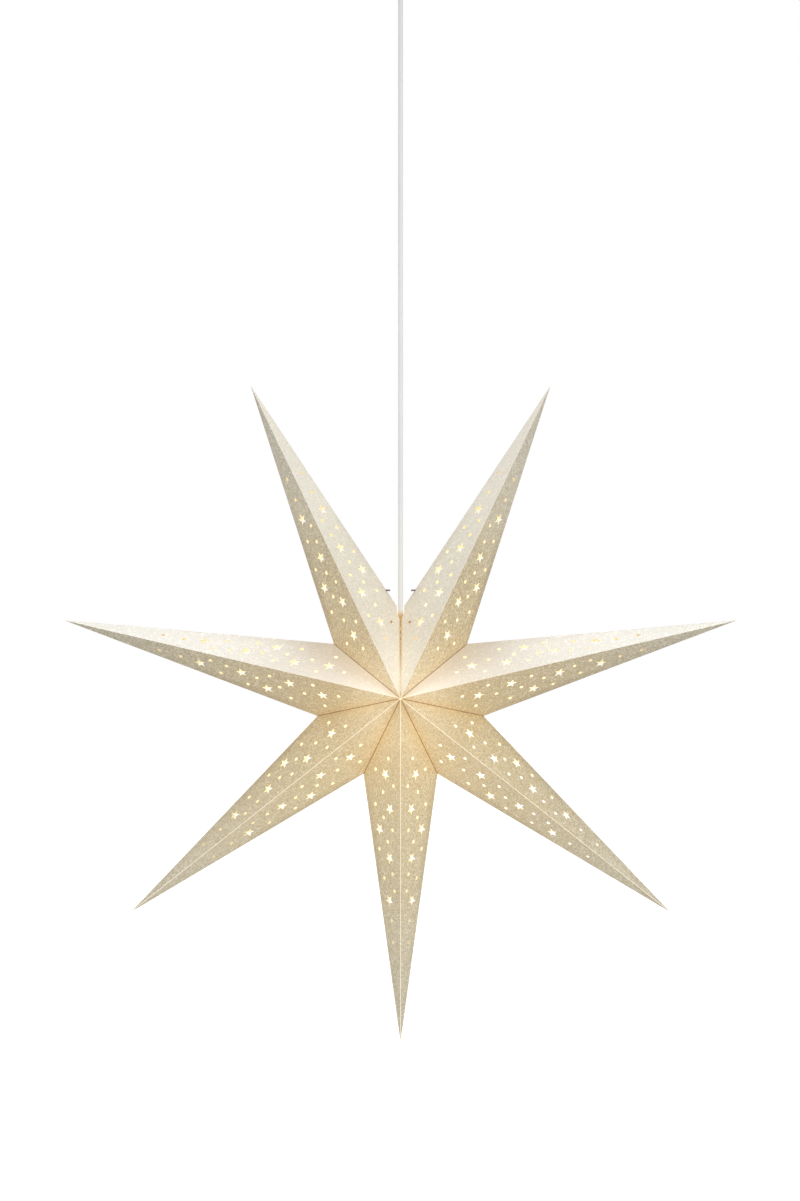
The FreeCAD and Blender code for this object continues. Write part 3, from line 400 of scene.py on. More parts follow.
def grainy_paper(w, at):
    """The paper's tone from its grain and painted light, and how much a point glints."""
    grit = w.node("ShaderNodeTexVoronoi", {"Vector": at.place, "Scale": GRIT_SCALE})
    salt, _, pepper = w.node("ShaderNodeSeparateColor", {0: grit.outputs["Color"]}).outputs
    glint = w.rise(salt, 0.80, 0.95)
    clouds = w.noise(at.place, CLOUD_SCALE, 3.0)
    grain = w.line(w.rise(at.flecks, 0.30, 0.70), 0.5, w.times(pepper, 0.5))
    cool, warm, painted_lit_tone, painted_side_lit_tone = (w.mixed(grain, *tones) for tones in (COOL, WARM, PAINTED_LIT_TONES, PAINTED_SIDE_LIT_TONES))
    # The side rays' lamp-struck panels take the second painted light tone.
    painted_lit_tone = w.mixed(w.fade(at.upward, 0.60, 0.75), painted_lit_tone, painted_side_lit_tone)
    # Nearer the bulb the base colour is warmer: painted warm light from the bulb.
    paper = w.mixed(w.fade(at.away, 0.15, 0.34), cool, warm)
    paper = w.mixed(at.pale, paper, painted_lit_tone)
    # Pale specks where the grit glints: pale flecks of the coat and a painted glint.
    paper = w.mixed(w.times(glint, 0.35), paper, PAINTED_GLINT_FLECK)
    return w.mixed(w.fade(clouds, 0.3, 0.7, 0.0, 0.10), paper, CLOUD), glint


def fold_marks(w, at, paper):
    """The paper with folds, seams and painted shade and light; also its worn and glued lines."""
    worn_line = w.times(at.worn, w.fade(at.ridge_line, 0.0002, 0.0007))
    paper = w.mixed(worn_line, paper, WORN_FOLD)
    # A thin dark line along the edge fold: painted shade.
    paper = w.mixed(w.fade(at.edge_line, 0.0001, 0.0010, 0.40, 0.0), paper, PAINTED_FOLD_SHADE)
    shade = w.times(w.fade(at.edge, 0.001, 0.014), w.rise(at.away, 0.085, 0.12),
                    w.fade(at.away, 0.19, 0.25, 1.0, 0.35), w.line(at.pale, -0.7, 1.0))
    paper = w.tinted(shade, paper, EDGE_SHADE)
    # Towards the tips of the upper rays, a painted highlight.
    high = w.times(w.fade(at.away, 0.15, 0.25, 0.0, 0.14), w.rise(at.upward, 0.5, 0.75))
    paper = w.mixed(high, paper, TOP_LIGHT)
    # Beside the joints near the middle, less above it: painted warm shade in the valleys.
    central = w.times(w.fade(at.away, 0.06, 0.15), w.line(at.above, -0.85, 1.0))
    paper = w.tinted(w.times(w.fade(at.seam, 0.0, 0.012), central), paper, PAINTED_VALLEY_SHADE)
    glued = w.times(w.fade(at.seam_line, 0.0002, 0.0010), w.line(at.cord_line, -0.8, 0.80),
                    w.fade(at.across, 0.001, 0.005, 0.2, 1.0))
    paper = w.mixed(glued, paper, GLUE)
    # Along the open top joint beside the cord: painted amber light seen through the slit.
    amber = w.times(w.fade(at.seam_line, 0.0008, 0.0026), at.cord_line,
                    w.fade(at.up, 0.020, 0.058, 0.30, 0.90))
    paper = w.mixed(amber, paper, PAINTED_SLIT_LIGHT)
    # On the inner faces near the cord's opening and of the lamp-struck panels: painted shade.
    shaded_inside = w.times(at.inside, w.math("MAXIMUM", at.opening, w.times(at.pale, 0.6)))
    return w.mixed(shaded_inside, paper, PAINTED_INSIDE_SHADE), worn_line, w.math("MAXIMUM", glued, amber)


def bulb_glow(w, at, worn_line, seam_mark):
    """The bulb's light: soft through the outer face, strong on the inner one."""
    by_cord = w.rise(at.upward, 0.896, 0.906)
    near = w.times(w.math("POWER", math.e, w.times(at.away, -1 / GLOW_REACH)),
                   w.line(by_cord, -0.24, 0.42))
    spread = w.fade(w.math("DIVIDE", at.up, at.away), -0.75, 0.1, 0.12, 0.02)
    core = w.times(w.fade(at.across, 0.015, 0.085, 0.14, 0.0),
                   w.fade(at.upward, -0.95, -0.30, 0.4, 1.0))
    outer = w.scaled(GLOW_NEAR, near)
    # Painted glow from the bulb, and a little along the worn folds.
    for colour, amount in ((GLOW_SPREAD, spread), (GLOW_CORE, core), (GLOW_FOLD, worn_line)):
        outer = w.vector("ADD", outer, w.scaled(colour, amount))
    outer = w.scaled(outer, w.math("SUBTRACT", 1.0, seam_mark))

    lamplit = w.mixed(w.rise(at.away, 0.05, 0.30), LAMPLIT_NEAR, LAMPLIT_FAR)
    inner = w.scaled(lamplit, w.fade(at.away, 0.10, 0.31, 0.90, 0.28, "LINEAR"))
    dim = w.times(w.rise(w.noise(at.place, PATCH_SCALE, 1.0), 0.42, 0.54),
                  w.line(at.pale, w.fade(at.away, 0.10, 0.26, 0.45, 0.65), 0.12))
    inner = w.mixed(dim, inner, LAMPLIT_DIM)
    return w.mixed(at.inside, outer, w.mixed(at.opening, inner, LAMPLIT_OPENING))


def pearly_paper():
    material, w = shader("pearly_paper")
    at = paper_measures(w)
    paper, glint = grainy_paper(w, at)
    paper, worn_line, seam_mark = fold_marks(w, at, paper)
    relief = w.line(glint, 0.5, at.flecks)
    bump = w.node("ShaderNodeBump", {"Strength": 0.30, "Distance": 0.0002, "Height": relief})
    show(w, w.node("ShaderNodeBsdfPrincipled", {
        "Base Color": paper, "Roughness": w.fade(glint, 0.0, 1.0, 0.55, 0.40),
        "Normal": bump.outputs[0], "Sheen Weight": 0.25, "Sheen Roughness": 0.5,
        "Specular IOR Level": 1.0, "Emission Color": bulb_glow(w, at, worn_line, seam_mark),
        "Emission Strength": 1.0}).outputs[0])
    return material


PAPER = pearly_paper()
print("paper:", len(PAPER.node_tree.nodes), "nodes")

# %% [markdown]
# ## One ray's sheet, drawn flat
#
# Each ray is folded from one sheet with four long triangular panels: two in front, two behind,
# with a ridge fold between a pair and an edge fold at the side. A panel runs from the blunt apex
# in the middle of the star to the tip and to the notch between two rays. On the flat sheet,
# `along` runs up the ridge from the apex and `out` runs away from it.
#
# The sizes are the CAD model's, apart from the dots: theirs is 0.3 mm smaller, which looks nearer
# to the photograph. The holes sit at shares of the panel: the first number goes from the star's
# middle to the tip, the second from the ridge to the panel's far side.

# %% Sizes of the sheet
TIP = 0.385
NOTCH = 0.095
DEPTH = 0.070
PAPER_THICKNESS = 0.0004
SECTOR = math.pi / 7
APEX_GAP = 0.0011
DOT_RADIUS = 0.0021
STAR_RADIUS = 0.0068
STAR_WAIST = 0.0029

DOTS = ((0.174, 0.42), (0.207, 0.72), (0.253, 0.20), (0.272, 0.50), (0.308, 0.76), (0.346, 0.54),
        (0.381, 0.27), (0.416, 0.46), (0.438, 0.79), (0.509, 0.34), (0.522, 0.71), (0.558, 0.29),
        (0.645, 0.53), (0.709, 0.56))
STARS = ((0.220, 0.41), (0.320, 0.33), (0.380, 0.71), (0.463, 0.43), (0.586, 0.57))

notch_side = NOTCH * math.sin(SECTOR)
notch_up = NOTCH * math.cos(SECTOR)
along_slope = DEPTH / TIP
side_slope = (DEPTH - along_slope * notch_up) / notch_side
steepness = math.sqrt(1 + along_slope ** 2 + side_slope ** 2)
MITRE_SHARE = 1 - PAPER_THICKNESS * steepness / DEPTH

APEX = Vector((0, -DEPTH, 0))
OUTWARD = Vector((side_slope, -1, along_slope)) / steepness
TIPWARD = Vector((0, along_slope, 1)).normalized()
SIDEWAYS = TIPWARD.cross(OUTWARD)


def on_panel(side, up):
    """The point of the right front panel at this distance to the side and up the ray."""
    return Vector((side, -(DEPTH - along_slope * up - side_slope * side), up))


def flat(point):
    """The same point on the flat sheet."""
    return Vector(((point - APEX).dot(SIDEWAYS), (point - APEX).dot(TIPWARD), 0))


flat_tip = flat(on_panel(0, TIP))
flat_notch = flat(on_panel(notch_side, notch_up))
print(f"panel: ridge {flat_tip.y * 1000:.1f} mm, joint {flat_notch.length * 1000:.1f} mm")

# %% [markdown]
# ## The outlines and the punch marks
#
# Twelve panels of the front are alike. The two beside the cord are not: there the joint stands open
# as a thin slit, the cord has its opening, and the hanger's hooked tip has a hole on the edge fold.
# The wire clip needs none, as it goes through a punched dot. Both outlines are closed loops of
# points, and each punch mark is a single loose point with a number that says which tool strikes.

# %% Outlines and marks
OUTLINE, DOT, STAR = 0, 1, 2


def apex_arc():
    """The small round gap in the middle of the star, from the ridge to the joint."""
    turns = [SECTOR * step / 3 for step in range(4)]
    return [on_panel(APEX_GAP * math.sin(turn), APEX_GAP * math.cos(turn)) for turn in turns]


def beside_cord(height, across):
    """A point of the panel beside the top joint, by its height and distance from the joint."""
    return on_panel(height * math.sin(SECTOR) - across * math.cos(SECTOR),
                    height * math.cos(SECTOR) + across * math.sin(SECTOR))


# How fast that panel's depth falls with height and grows away from the joint.
DROP = along_slope * math.cos(SECTOR) + side_slope * math.sin(SECTOR)
GAIN = side_slope * math.cos(SECTOR) - along_slope * math.sin(SECTOR)
SLIT_FOOT = 0.047
OPENING_SIDE = 0.0042
OPENING_STRAIGHT = 0.0028
HOOK_HEIGHT = 0.119
HOOK_HOLE = 0.0011


def height_at(depth, across):
    """Height at which that panel has this depth, so far from the joint."""
    return (DEPTH + GAIN * across - depth) / DROP


def cord_side_outline():
    """The slit, half of the cord's opening with its rounded end, and half of the hook's hole."""
    points = apex_arc() + [beside_cord(SLIT_FOOT, 0)]
    for across in (0.0005, 0.0014, 0.0024, 0.0032, 0.0038, OPENING_SIDE):
        depth = OPENING_STRAIGHT + math.sqrt(OPENING_SIDE ** 2 - across ** 2)
        points.append(beside_cord(height_at(depth, across), across))
    points.append(beside_cord(height_at(0, OPENING_SIDE), OPENING_SIDE))
    for step in range(7):
        turn = math.pi * step / 6
        depth = HOOK_HOLE * math.sin(turn)
        height = HOOK_HEIGHT - HOOK_HOLE * math.cos(turn)
        points.append(beside_cord(height, (depth - DEPTH + DROP * height) / GAIN))
    return points + [on_panel(0, TIP)]


def punch_spot(along, across):
    up = along * TIP
    flank = (TIP - up) * notch_side / (TIP - notch_up)
    return on_panel(across * min(flank, up * math.tan(SECTOR)), up)


def sheet_pattern(name, outline):
    """A mesh on the flat sheet: the outline as a closed loop, and a loose point for each mark."""
    marks = [(punch_spot(*spot), tool) for spots, tool in ((DOTS, DOT), (STARS, STAR))
             for spot in spots]
    points = [flat(point) for point in outline] + [flat(point) for point, tool in marks]
    count = len(outline)
    mesh = bpy.data.meshes.new(name)
    mesh.from_pydata(points, [(i, (i + 1) % count) for i in range(count)], [])
    tool = mesh.attributes.new("tool", "FLOAT", "POINT")
    tool.data.foreach_set("value", [OUTLINE] * count + [tool for point, tool in marks])
    print(f"{name}: outline of {count} points, {len(marks)} marks")
    return in_scene(name, mesh)


plain_outline = apex_arc() + [on_panel(notch_side, notch_up), on_panel(0, TIP)]
plain_pattern = sheet_pattern("plain_pattern", plain_outline)
cord_side_pattern = sheet_pattern("cord_side_pattern", cord_side_outline())

# %% [markdown]
# ## Punch and fold one panel
#
# Punching repeats, and folding follows a rule, so both belong in Geometry Nodes. The first tree
# takes the flat pattern, sets a circle or a five-pointed star on every mark, and fills the outline
# around them: the tools' outlines become holes. It notes each point's distance from the ridge, from
# the edge fold and from the glued joint, and only then lifts the sheet into place.
#
# Paper has two faces. The tree also works out where each point of the inner face goes. On a fold or
# a joint that point slides along the fold's own plane, so that neighbours meet in a clean mitre.

# %% Tree: punched panel
def sockets(tree, kind, *names, way="INPUT"):
    for name in names:
        tree.interface.new_socket(name, in_out=way, socket_type="NodeSocket" + kind)


def punched_panel_tree():
    tree = bpy.data.node_groups.new("punched_panel", "GeometryNodeTree")
    sockets(tree, "Geometry", "Pattern")
    sockets(tree, "Float", "Dot radius", "Star radius", "Star waist", "Paper", "Steepness",
            "Mitre share")
    sockets(tree, "Vector", "Apex", "Sideways", "Tipward", "Outward", "Flat tip", "Flat notch",
            "Mark shift", "Mirror")
    sockets(tree, "Bool", "Turned over")
    sockets(tree, "Geometry", "Panel", way="OUTPUT")
    w = Wiring(tree)
    given = w.node("NodeGroupInput").outputs
    tool = w.node("GeometryNodeInputNamedAttribute", {"Name": "tool"}, data_type="FLOAT").outputs[0]

    def marked(number):
        return w.math("COMPARE", tool, float(number), 0.5)

    parts = w.node("GeometryNodeSeparateGeometry", {
        "Geometry": given["Pattern"], "Selection": marked(OUTLINE)}, domain="POINT").outputs
    outline = w.node("GeometryNodeMeshToCurve", {"Mesh": parts["Selection"]}).outputs[0]
    marks = w.node("GeometryNodeSetPosition", {"Geometry": parts["Inverted"],
                                               "Offset": given["Mark shift"]}).outputs[0]
    dot = w.node("GeometryNodeCurvePrimitiveCircle", {"Resolution": 12,
                                                      "Radius": given["Dot radius"]})
    star = w.node("GeometryNodeCurveStar", {"Points": 5, "Inner Radius": given["Star waist"],
                                            "Outer Radius": given["Star radius"]})
    loops = w.node("GeometryNodeJoinGeometry")
    tree.links.new(outline, loops.inputs[0])
    for number, shape, turn in ((DOT, dot, 0.0), (STAR, star, math.pi / 2)):
        struck = w.node("GeometryNodeInstanceOnPoints", {
            "Points": marks, "Selection": marked(number), "Instance": shape.outputs[0],
            "Rotation": (0, 0, turn)})
        tree.links.new(struck.outputs[0], loops.inputs[0])
    real = w.node("GeometryNodeRealizeInstances", {"Geometry": loops.outputs[0]})
    sheet = w.node("GeometryNodeFillCurve", {"Curve": real.outputs[0]}, mode="TRIANGLES").outputs[0]

    spot = w.node("GeometryNodeInputPosition").outputs[0]
    out, along, _ = w.split(spot)

    def distance_from(start, end):
        """Distance of a flat point from the line between two others."""
        line = w.vector("NORMALIZE", w.vector("SUBTRACT", end, start))
        square = w.vector("CROSS_PRODUCT", line, w.vector("SUBTRACT", spot, start))
        return w.vector("LENGTH", square)

    edge = distance_from(given["Flat notch"], given["Flat tip"])
    seam = distance_from((0, 0, 0), given["Flat notch"])
    folds = w.joined({0: out, 1: edge, 2: seam})
    face = w.vector("ADD", given["Apex"], w.vector("ADD", w.scaled(given["Sideways"], out),
                                                   w.scaled(given["Tipward"], along)))
    straight_in = w.vector("SUBTRACT", face, w.scaled(given["Outward"], given["Paper"]))
    depth_in = w.vector("ADD", face, w.joined({1: w.times(given["Paper"], given["Steepness"])}))
    centre_in = w.scaled(face, given["Mitre share"])
    tiny = 1e-5
    on_joint = w.math("MAXIMUM", w.math("LESS_THAN", out, tiny), w.math("LESS_THAN", seam, tiny))

    def chosen(share, low, high):
        made = w.node("ShaderNodeMix", {0: share, 4: low, 5: high}, data_type="VECTOR")
        return made.outputs[1]

    inner = chosen(w.math("LESS_THAN", edge, tiny), chosen(on_joint, straight_in, depth_in),
                   centre_in)
    sheet = w.stored(sheet, "folds", folds, "POINT", "FLOAT_VECTOR")
    sheet = w.stored(sheet, "inner_spot", w.vector("MULTIPLY", inner, given["Mirror"]), "POINT",
                     "FLOAT_VECTOR")
    lifted = w.node("GeometryNodeSetPosition", {
        "Geometry": sheet, "Position": w.vector("MULTIPLY", face, given["Mirror"])})
    turned = w.node("GeometryNodeFlipFaces", {"Mesh": lifted.outputs[0],
                                              "Selection": given["Turned over"]})
    w.node("NodeGroupOutput", {"Panel": turned.outputs[0]})
    return tree


punched_panel = punched_panel_tree()
print("punched panel:", len(punched_panel.nodes), "nodes")

# %% [markdown]
# ## Fold the sheet into a ray
#
# The second tree uses the first one four times: right and left, front and back. It welds the ridge
# and the edge folds, gives the sheet its thickness by drawing the inner face out of the outer one,
# and turns the finished ray to its place round the star. `inside` marks everything that faces the
# bulb, and `worn` says how much the ridge has been handled.

# %% Tree: folded ray
def folded_ray_tree(panel_tree):
    tree = bpy.data.node_groups.new("folded_ray", "GeometryNodeTree")
    sockets(tree, "Geometry", "Workbench")
    sockets(tree, "Object", "Right pattern", "Left pattern")
    for item in panel_tree.interface.items_tree:
        if item.in_out == "INPUT" and item.name not in ("Pattern", "Mark shift", "Mirror",
                                                        "Turned over"):
            sockets(tree, item.socket_type.removeprefix("NodeSocket"), item.name)
    sockets(tree, "Float", "Turn", "Worn", "Pale right", "Pale left")
    sockets(tree, "Vector", "Star centre", "Right shift", "Left shift")
    sockets(tree, "Material", "Material")
    sockets(tree, "Geometry", "Ray", way="OUTPUT")
    w = Wiring(tree)
    given = w.node("NodeGroupInput").outputs
    panels = w.node("GeometryNodeJoinGeometry")
    shared = {item.name: given[item.name] for item in panel_tree.interface.items_tree
              if item.in_out == "INPUT" and item.name in given.keys()}

    for side, hand in ((1, "Right"), (-1, "Left")):
        source = w.node("GeometryNodeObjectInfo", {"Object": given[hand + " pattern"]})
        pattern = source.outputs["Geometry"]
        for face in (1, -1):
            panel = tree.nodes.new("GeometryNodeGroup")
            panel.node_tree = panel_tree
            for name, size in shared.items():
                tree.links.new(size, panel.inputs[name])
            tree.links.new(pattern, panel.inputs["Pattern"])
            panel.inputs["Mirror"].default_value = (side, face, 1)
            panel.inputs["Turned over"].default_value = side * face < 0
            if face == -1:
                tree.links.new(given[hand + " shift"], panel.inputs["Mark shift"])
            # Marks the lamp-struck panels, which the paper paints paler: painted light.
            paleness = given["Pale " + hand.lower()]
            painted = w.stored(panel.outputs[0], "pale", paleness, "FACE")
            tree.links.new(painted, panels.inputs[0])
    weld = 2e-6
    sheet = w.node("GeometryNodeMergeByDistance", {"Geometry": panels.outputs[0], "Distance": weld})

    outer = w.stored(sheet.outputs[0], "inside", 0.0, "FACE")
    drawn = w.node("GeometryNodeExtrudeMesh", {"Mesh": sheet.outputs[0], "Offset Scale": 0.0,
                                               "Individual": False}, mode="FACES")
    inner_spot = w.node("GeometryNodeInputNamedAttribute", {"Name": "inner_spot"},
                        data_type="FLOAT_VECTOR").outputs[0]
    moved = w.node("GeometryNodeSetPosition", {
        "Geometry": drawn.outputs["Mesh"], "Selection": drawn.outputs["Top"],
        "Position": inner_spot})
    flipped = w.node("GeometryNodeFlipFaces", {"Mesh": moved.outputs[0]})
    inner = w.stored(flipped.outputs[0], "inside", 1.0, "FACE")
    both = w.node("GeometryNodeJoinGeometry")
    for half in (outer, inner):
        tree.links.new(half, both.inputs[0])
    shell = w.node("GeometryNodeMergeByDistance", {"Geometry": both.outputs[0], "Distance": weld})
    shell = w.stored(shell.outputs[0], "worn", given["Worn"], "POINT")
    for name in ("inner_spot", "tool"):
        shell = w.node("GeometryNodeRemoveAttribute", {"Geometry": shell, "Name": name}).outputs[0]
    placed = w.node("GeometryNodeTransform", {
        "Geometry": shell, "Rotation": w.joined({1: given["Turn"]}),
        "Translation": given["Star centre"]})
    real = w.node("GeometryNodeRealizeInstances", {"Geometry": placed.outputs[0]})
    painted = w.node("GeometryNodeSetMaterial", {"Geometry": real.outputs[0],
                                                 "Material": given["Material"]})
    w.node("NodeGroupOutput", {"Ray": painted.outputs[0]})
    return tree


folded_ray = folded_ray_tree(punched_panel)
print("folded ray:", len(folded_ray.nodes), "nodes")

# %% [markdown]
# ## Glue flaps
#
# Each ray is glued to the next by narrow strips that fold inwards along the joint. They are hardly
# seen, but they shade the joint and show through the holes near it. Two thin strips on each side
# are enough: one in front, one behind. The top joint is held by wire clips instead and has none.

# %% Flap maker
FLAP_WIDTH = 0.008
FLAP_START = 0.014
FLAP_CLEARANCE = 0.004
FLAP_OFF_JOINT = 0.00004
FAR_FROM_FOLDS = (0.02, 0.02, 0.02)


def flap_strips(side):
    """The corners of one side's two flaps, in the upright ray's space, as thin closed boxes."""
    slope = math.sqrt(1 / NOTCH ** 2 + 1 / DEPTH ** 2)
    near_share = MITRE_SHARE - FLAP_CLEARANCE
    far_share = MITRE_SHARE - FLAP_WIDTH * slope
    along = Vector((side * math.sin(SECTOR), 0, math.cos(SECTOR)))
    into_ray = Vector((-side * math.cos(SECTOR), 0, math.sin(SECTOR)))
    strips = []
    for face in (-1, 1):
        def spot(height, part):
            return along * height + Vector((0, face * DEPTH * (part - height / NOTCH), 0))
        low = [spot(FLAP_START, near_share), along * NOTCH * near_share,
               along * NOTCH * far_share, spot(FLAP_START, far_share)]
        strips.append([corner + into_ray * step for step in
                       (FLAP_OFF_JOINT, FLAP_OFF_JOINT + PAPER_THICKNESS) for corner in low])
    return strips


def add_flaps(mesh, sides, turn):
    """Join the flaps to a ray's finished mesh."""
    shape = bmesh.new()
    shape.from_mesh(mesh)
    folds = shape.verts.layers.float_vector["folds"]
    inside = shape.faces.layers.float["inside"]
    place = Matrix.Translation(STAR_CENTRE) @ Matrix.Rotation(turn, 4, "Y")
    for side in sides:
        for strip in flap_strips(side):
            corners = [shape.verts.new(place @ corner) for corner in strip]
            for corner in corners:
                corner[folds] = FAR_FROM_FOLDS
            rings = [(0, 1, 2, 3), (7, 6, 5, 4)] + [(i, i + 4, (i + 1) % 4 + 4, (i + 1) % 4)
                                                   for i in range(4)]
            faces = [shape.faces.new([corners[i] for i in ring]) for ring in rings]
            for face in faces:
                face[inside] = 1.0
            bmesh.ops.recalc_face_normals(shape, faces=faces)
    shape.to_mesh(mesh)
    shape.free()


print("flaps are", FLAP_WIDTH * 1000, "mm wide")

# %% [markdown]
# ## The seven rays
#
# The tree runs seven times, each with another turn. The three lower rays have the most worn ridges.
# The marks behind are set three millimetres off the mirror image of those in front. That is a
# choice for the look: through a hole one then sees part white room and part amber paper. Each
# result becomes a plain mesh that rides on the star's body and stands for that ray's plain solid.

# %% Rays
RAYS = ("bottom", "lower_left", "left", "top_left", "top_right", "right", "lower_right")
WORN = {"bottom": 1.0, "lower_left": 0.9, "lower_right": 0.9}
LITTLE_WORN = 0.25
# Per ray, the share of each side's panels painted paler: painted light from the lamp above.
PAINTED_TOP_LIGHT = {"left": (1.0, 0.0), "top_left": (1.0, 0.0), "top_right": (0.0, 1.0), "right": (0.0, 1.0)}
BACK_SHIFT = Vector((0.0018, 0, -0.0024))
SIZES = {"Dot radius": DOT_RADIUS, "Star radius": STAR_RADIUS, "Star waist": STAR_WAIST,
         "Paper": PAPER_THICKNESS, "Steepness": steepness, "Mitre share": MITRE_SHARE, "Apex": APEX,
         "Sideways": SIDEWAYS, "Tipward": TIPWARD, "Outward": OUTWARD, "Flat tip": flat_tip,
         "Flat notch": flat_notch, "Star centre": STAR_CENTRE, "Material": PAPER}

bench = in_scene("bench", bpy.data.meshes.new("bench"))


def made_plain(tree, sizes, name):
    """Run a tree on the empty workbench, and return the result as a plain mesh object."""
    modifier = bench.modifiers.new("shape", "NODES")
    modifier.node_group = tree
    identifiers = {item.name: item.identifier for item in tree.interface.items_tree
                   if item.in_out == "INPUT"}
    for size, value in sizes.items():
        modifier[identifiers[size]] = value
    seen = bench.evaluated_get(bpy.context.evaluated_depsgraph_get())
    mesh = bpy.data.meshes.new_from_object(seen)
    bench.modifiers.remove(modifier)
    mesh.name = name
    return in_scene(name, mesh)


def shift_on_sheet(side, turn):
    """How far the punch marks of a back panel lie from their mirror image, on the flat sheet."""
    shift = Matrix.Rotation(-turn, 3, "Y") @ BACK_SHIFT
    aside = side * shift.x
    shift = Vector((aside, side_slope * aside + along_slope * shift.z, shift.z))
    return Vector((shift.dot(SIDEWAYS), shift.dot(TIPWARD), 0))


def volume(mesh):
    """A mesh's volume, and how many of its edges don't lie between just two faces."""
    shape = bmesh.new()
    shape.from_mesh(mesh)
    amount = shape.calc_volume(signed=True)
    open_edges = sum(1 for edge in shape.edges if len(edge.link_faces) != 2)
    shape.free()
    return amount, open_edges


for step, ray in enumerate(RAYS):
    turn = math.pi + step * 2 * SECTOR
    patterns = {1: plain_pattern, -1: plain_pattern}
    flap_sides = [1, -1]
    if ray in ("top_left", "top_right"):
        cord_side = 1 if ray == "top_left" else -1
        patterns[cord_side] = cord_side_pattern
        flap_sides = [-cord_side]
    pale_right, pale_left = PAINTED_TOP_LIGHT.get(ray, (0.0, 0.0))
    sizes = {**SIZES, "Right pattern": patterns[1], "Left pattern": patterns[-1], "Turn": turn,
             "Worn": WORN.get(ray, LITTLE_WORN), "Pale right": pale_right, "Pale left": pale_left,
             "Right shift": shift_on_sheet(1, turn), "Left shift": shift_on_sheet(-1, turn)}
    paper_ray = made_plain(folded_ray, sizes, "paper_ray_" + ray)
    paper_volume, open_edges = volume(paper_ray.data)
    add_flaps(paper_ray.data, flap_sides, turn)
    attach(paper_ray, "star")
    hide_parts("ray_" + ray)
    print(f"{paper_ray.name}: {len(paper_ray.data.polygons)} faces, "
          f"{paper_volume * 1e9:.0f} mm3, {open_edges} open edges")

for pattern in (plain_pattern, cord_side_pattern):
    bpy.data.objects.remove(pattern)

# %% [markdown]
# ## Finishes of the hard parts
#
# The cup, the lamp holder, the bulb and the screws keep the true shapes of the CAD model and only
# get a finish. None of these surfaces is one even colour. Moulded plastic has a faint orange-peel
# skin, zinc is mottled, turned brass and nickel show fine rings, and a drawn sheath or wire has
# streaks along its length. One tree serves them all: noise in the part's own space, stretched
# along an axis, mixes two close tones, moves the gloss a little and adds a faint relief.

# %% Finish maker
def two_toned(name, first, second, scale, gloss, stretch=(1, 1, 1), depth=0.00002, fixed=None,
              painted_warm_shade=None):
    """A finish of two close tones. The scale is of its fine noise, gloss its roughness range.

    The optional shade is painted: a colour, the height down to which there is none,
    and the height where it is full.
    """
    material, w = shader(name)
    place = w.vector("MULTIPLY", w.place(), stretch)
    fine = w.noise(place, scale, 4.0)
    broad = w.noise(place, scale / 9, 2.0)
    mix = w.rise(w.line(fine, 0.5, w.times(broad, 0.5)), 0.36, 0.64)
    tone = w.mixed(mix, (*first, 1), (*second, 1))
    if painted_warm_shade:
        colour, clean, full_shade_height = painted_warm_shade
        height = w.split(w.place())[2]
        tone = w.mixed(w.fade(height, full_shade_height, clean), tone, (*colour, 1))
    rough = w.fade(fine, 0.3, 0.7, gloss[0], gloss[1])
    relief = w.node("ShaderNodeBump", {"Strength": 0.5, "Distance": depth, "Height": fine})
    show(w, w.node("ShaderNodeBsdfPrincipled", {
        "Base Color": tone, "Roughness": rough, "Normal": relief.outputs[0],
        **(fixed or {})}).outputs[0])
    return material


def finish(material, *names):
    """Give CAD nodes this material, and leave their meshes alone."""
    for name in names:
        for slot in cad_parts[name].material_slots:
            slot.material = material
    print(f"{material.name}: {len(names)} parts")


# %% [markdown]
# ## Plastics
#
# The cup and its cord grip are glossy white mouldings, slightly warm. The lamp holder is an older,
# creamier plastic with a duller skin. The terminal block is milky nylon, and the socket's core is
# a pale fired ceramic. The sheath of the cord is soft white plastic with streaks down its length.
# Where it goes into the star, its end is painted a darker amber: painted shade and warm bulb light.

# %% Plastic, ceramic and insulation
cup_white = two_toned("cup_white", (0.80, 0.795, 0.77), (0.85, 0.845, 0.82), 700, (0.24, 0.34),
                      fixed={"Coat Weight": 0.25, "Coat Roughness": 0.15})
holder_cream = two_toned("holder_cream", (0.74, 0.72, 0.66), (0.80, 0.78, 0.72), 500, (0.38, 0.50))
milky_nylon = two_toned("milky_nylon", (0.76, 0.76, 0.72), (0.84, 0.84, 0.80), 300, (0.40, 0.52),
                        fixed={"Subsurface Weight": 0.2, "Subsurface Scale": 0.002})
fired_ceramic = two_toned("fired_ceramic", (0.72, 0.70, 0.65), (0.82, 0.81, 0.77), 900,
                          (0.55, 0.75), depth=0.00006)
# The cord's end in the star's opening is painted darker amber: painted shade and warm light.
two_toned(SHEATH.name, (0.84, 0.84, 0.835), (0.90, 0.90, 0.895), 900, (0.42, 0.56),
          stretch=(1, 1, 0.08), painted_warm_shade=((0.52, 0.34, 0.12), -0.763, -0.774))
brown_core = two_toned("brown_core", (0.15, 0.062, 0.026), (0.20, 0.085, 0.036), 600, (0.30, 0.42))
blue_core = two_toned("blue_core", (0.018, 0.085, 0.36), (0.028, 0.12, 0.46), 600, (0.30, 0.42))

finish(cup_white, "canopy", "cord_grip", "cord_grip_nut")
finish(holder_cream, "holder_cap", "holder_skirt", "holder_cord_grip")
finish(milky_nylon, "terminal_block")
finish(fired_ceramic, "holder_core")
finish(brown_core, "canopy_core_live", "holder_core_live")
finish(blue_core, "canopy_core_neutral", "holder_core_neutral")
print(SHEATH.name, "is on the cord, its end and its bend")

# %% [markdown]
# ## Metals
#
# Zinc-plated steel is grey and patchy. The hanger and the seam clips are bare drawn wire that has
# darkened to a purple brown, which is why their ends show as small dark marks on the pale paper.
# The bulb's cap is bright nickel, pressed and not polished. Terminals and contacts are brass.

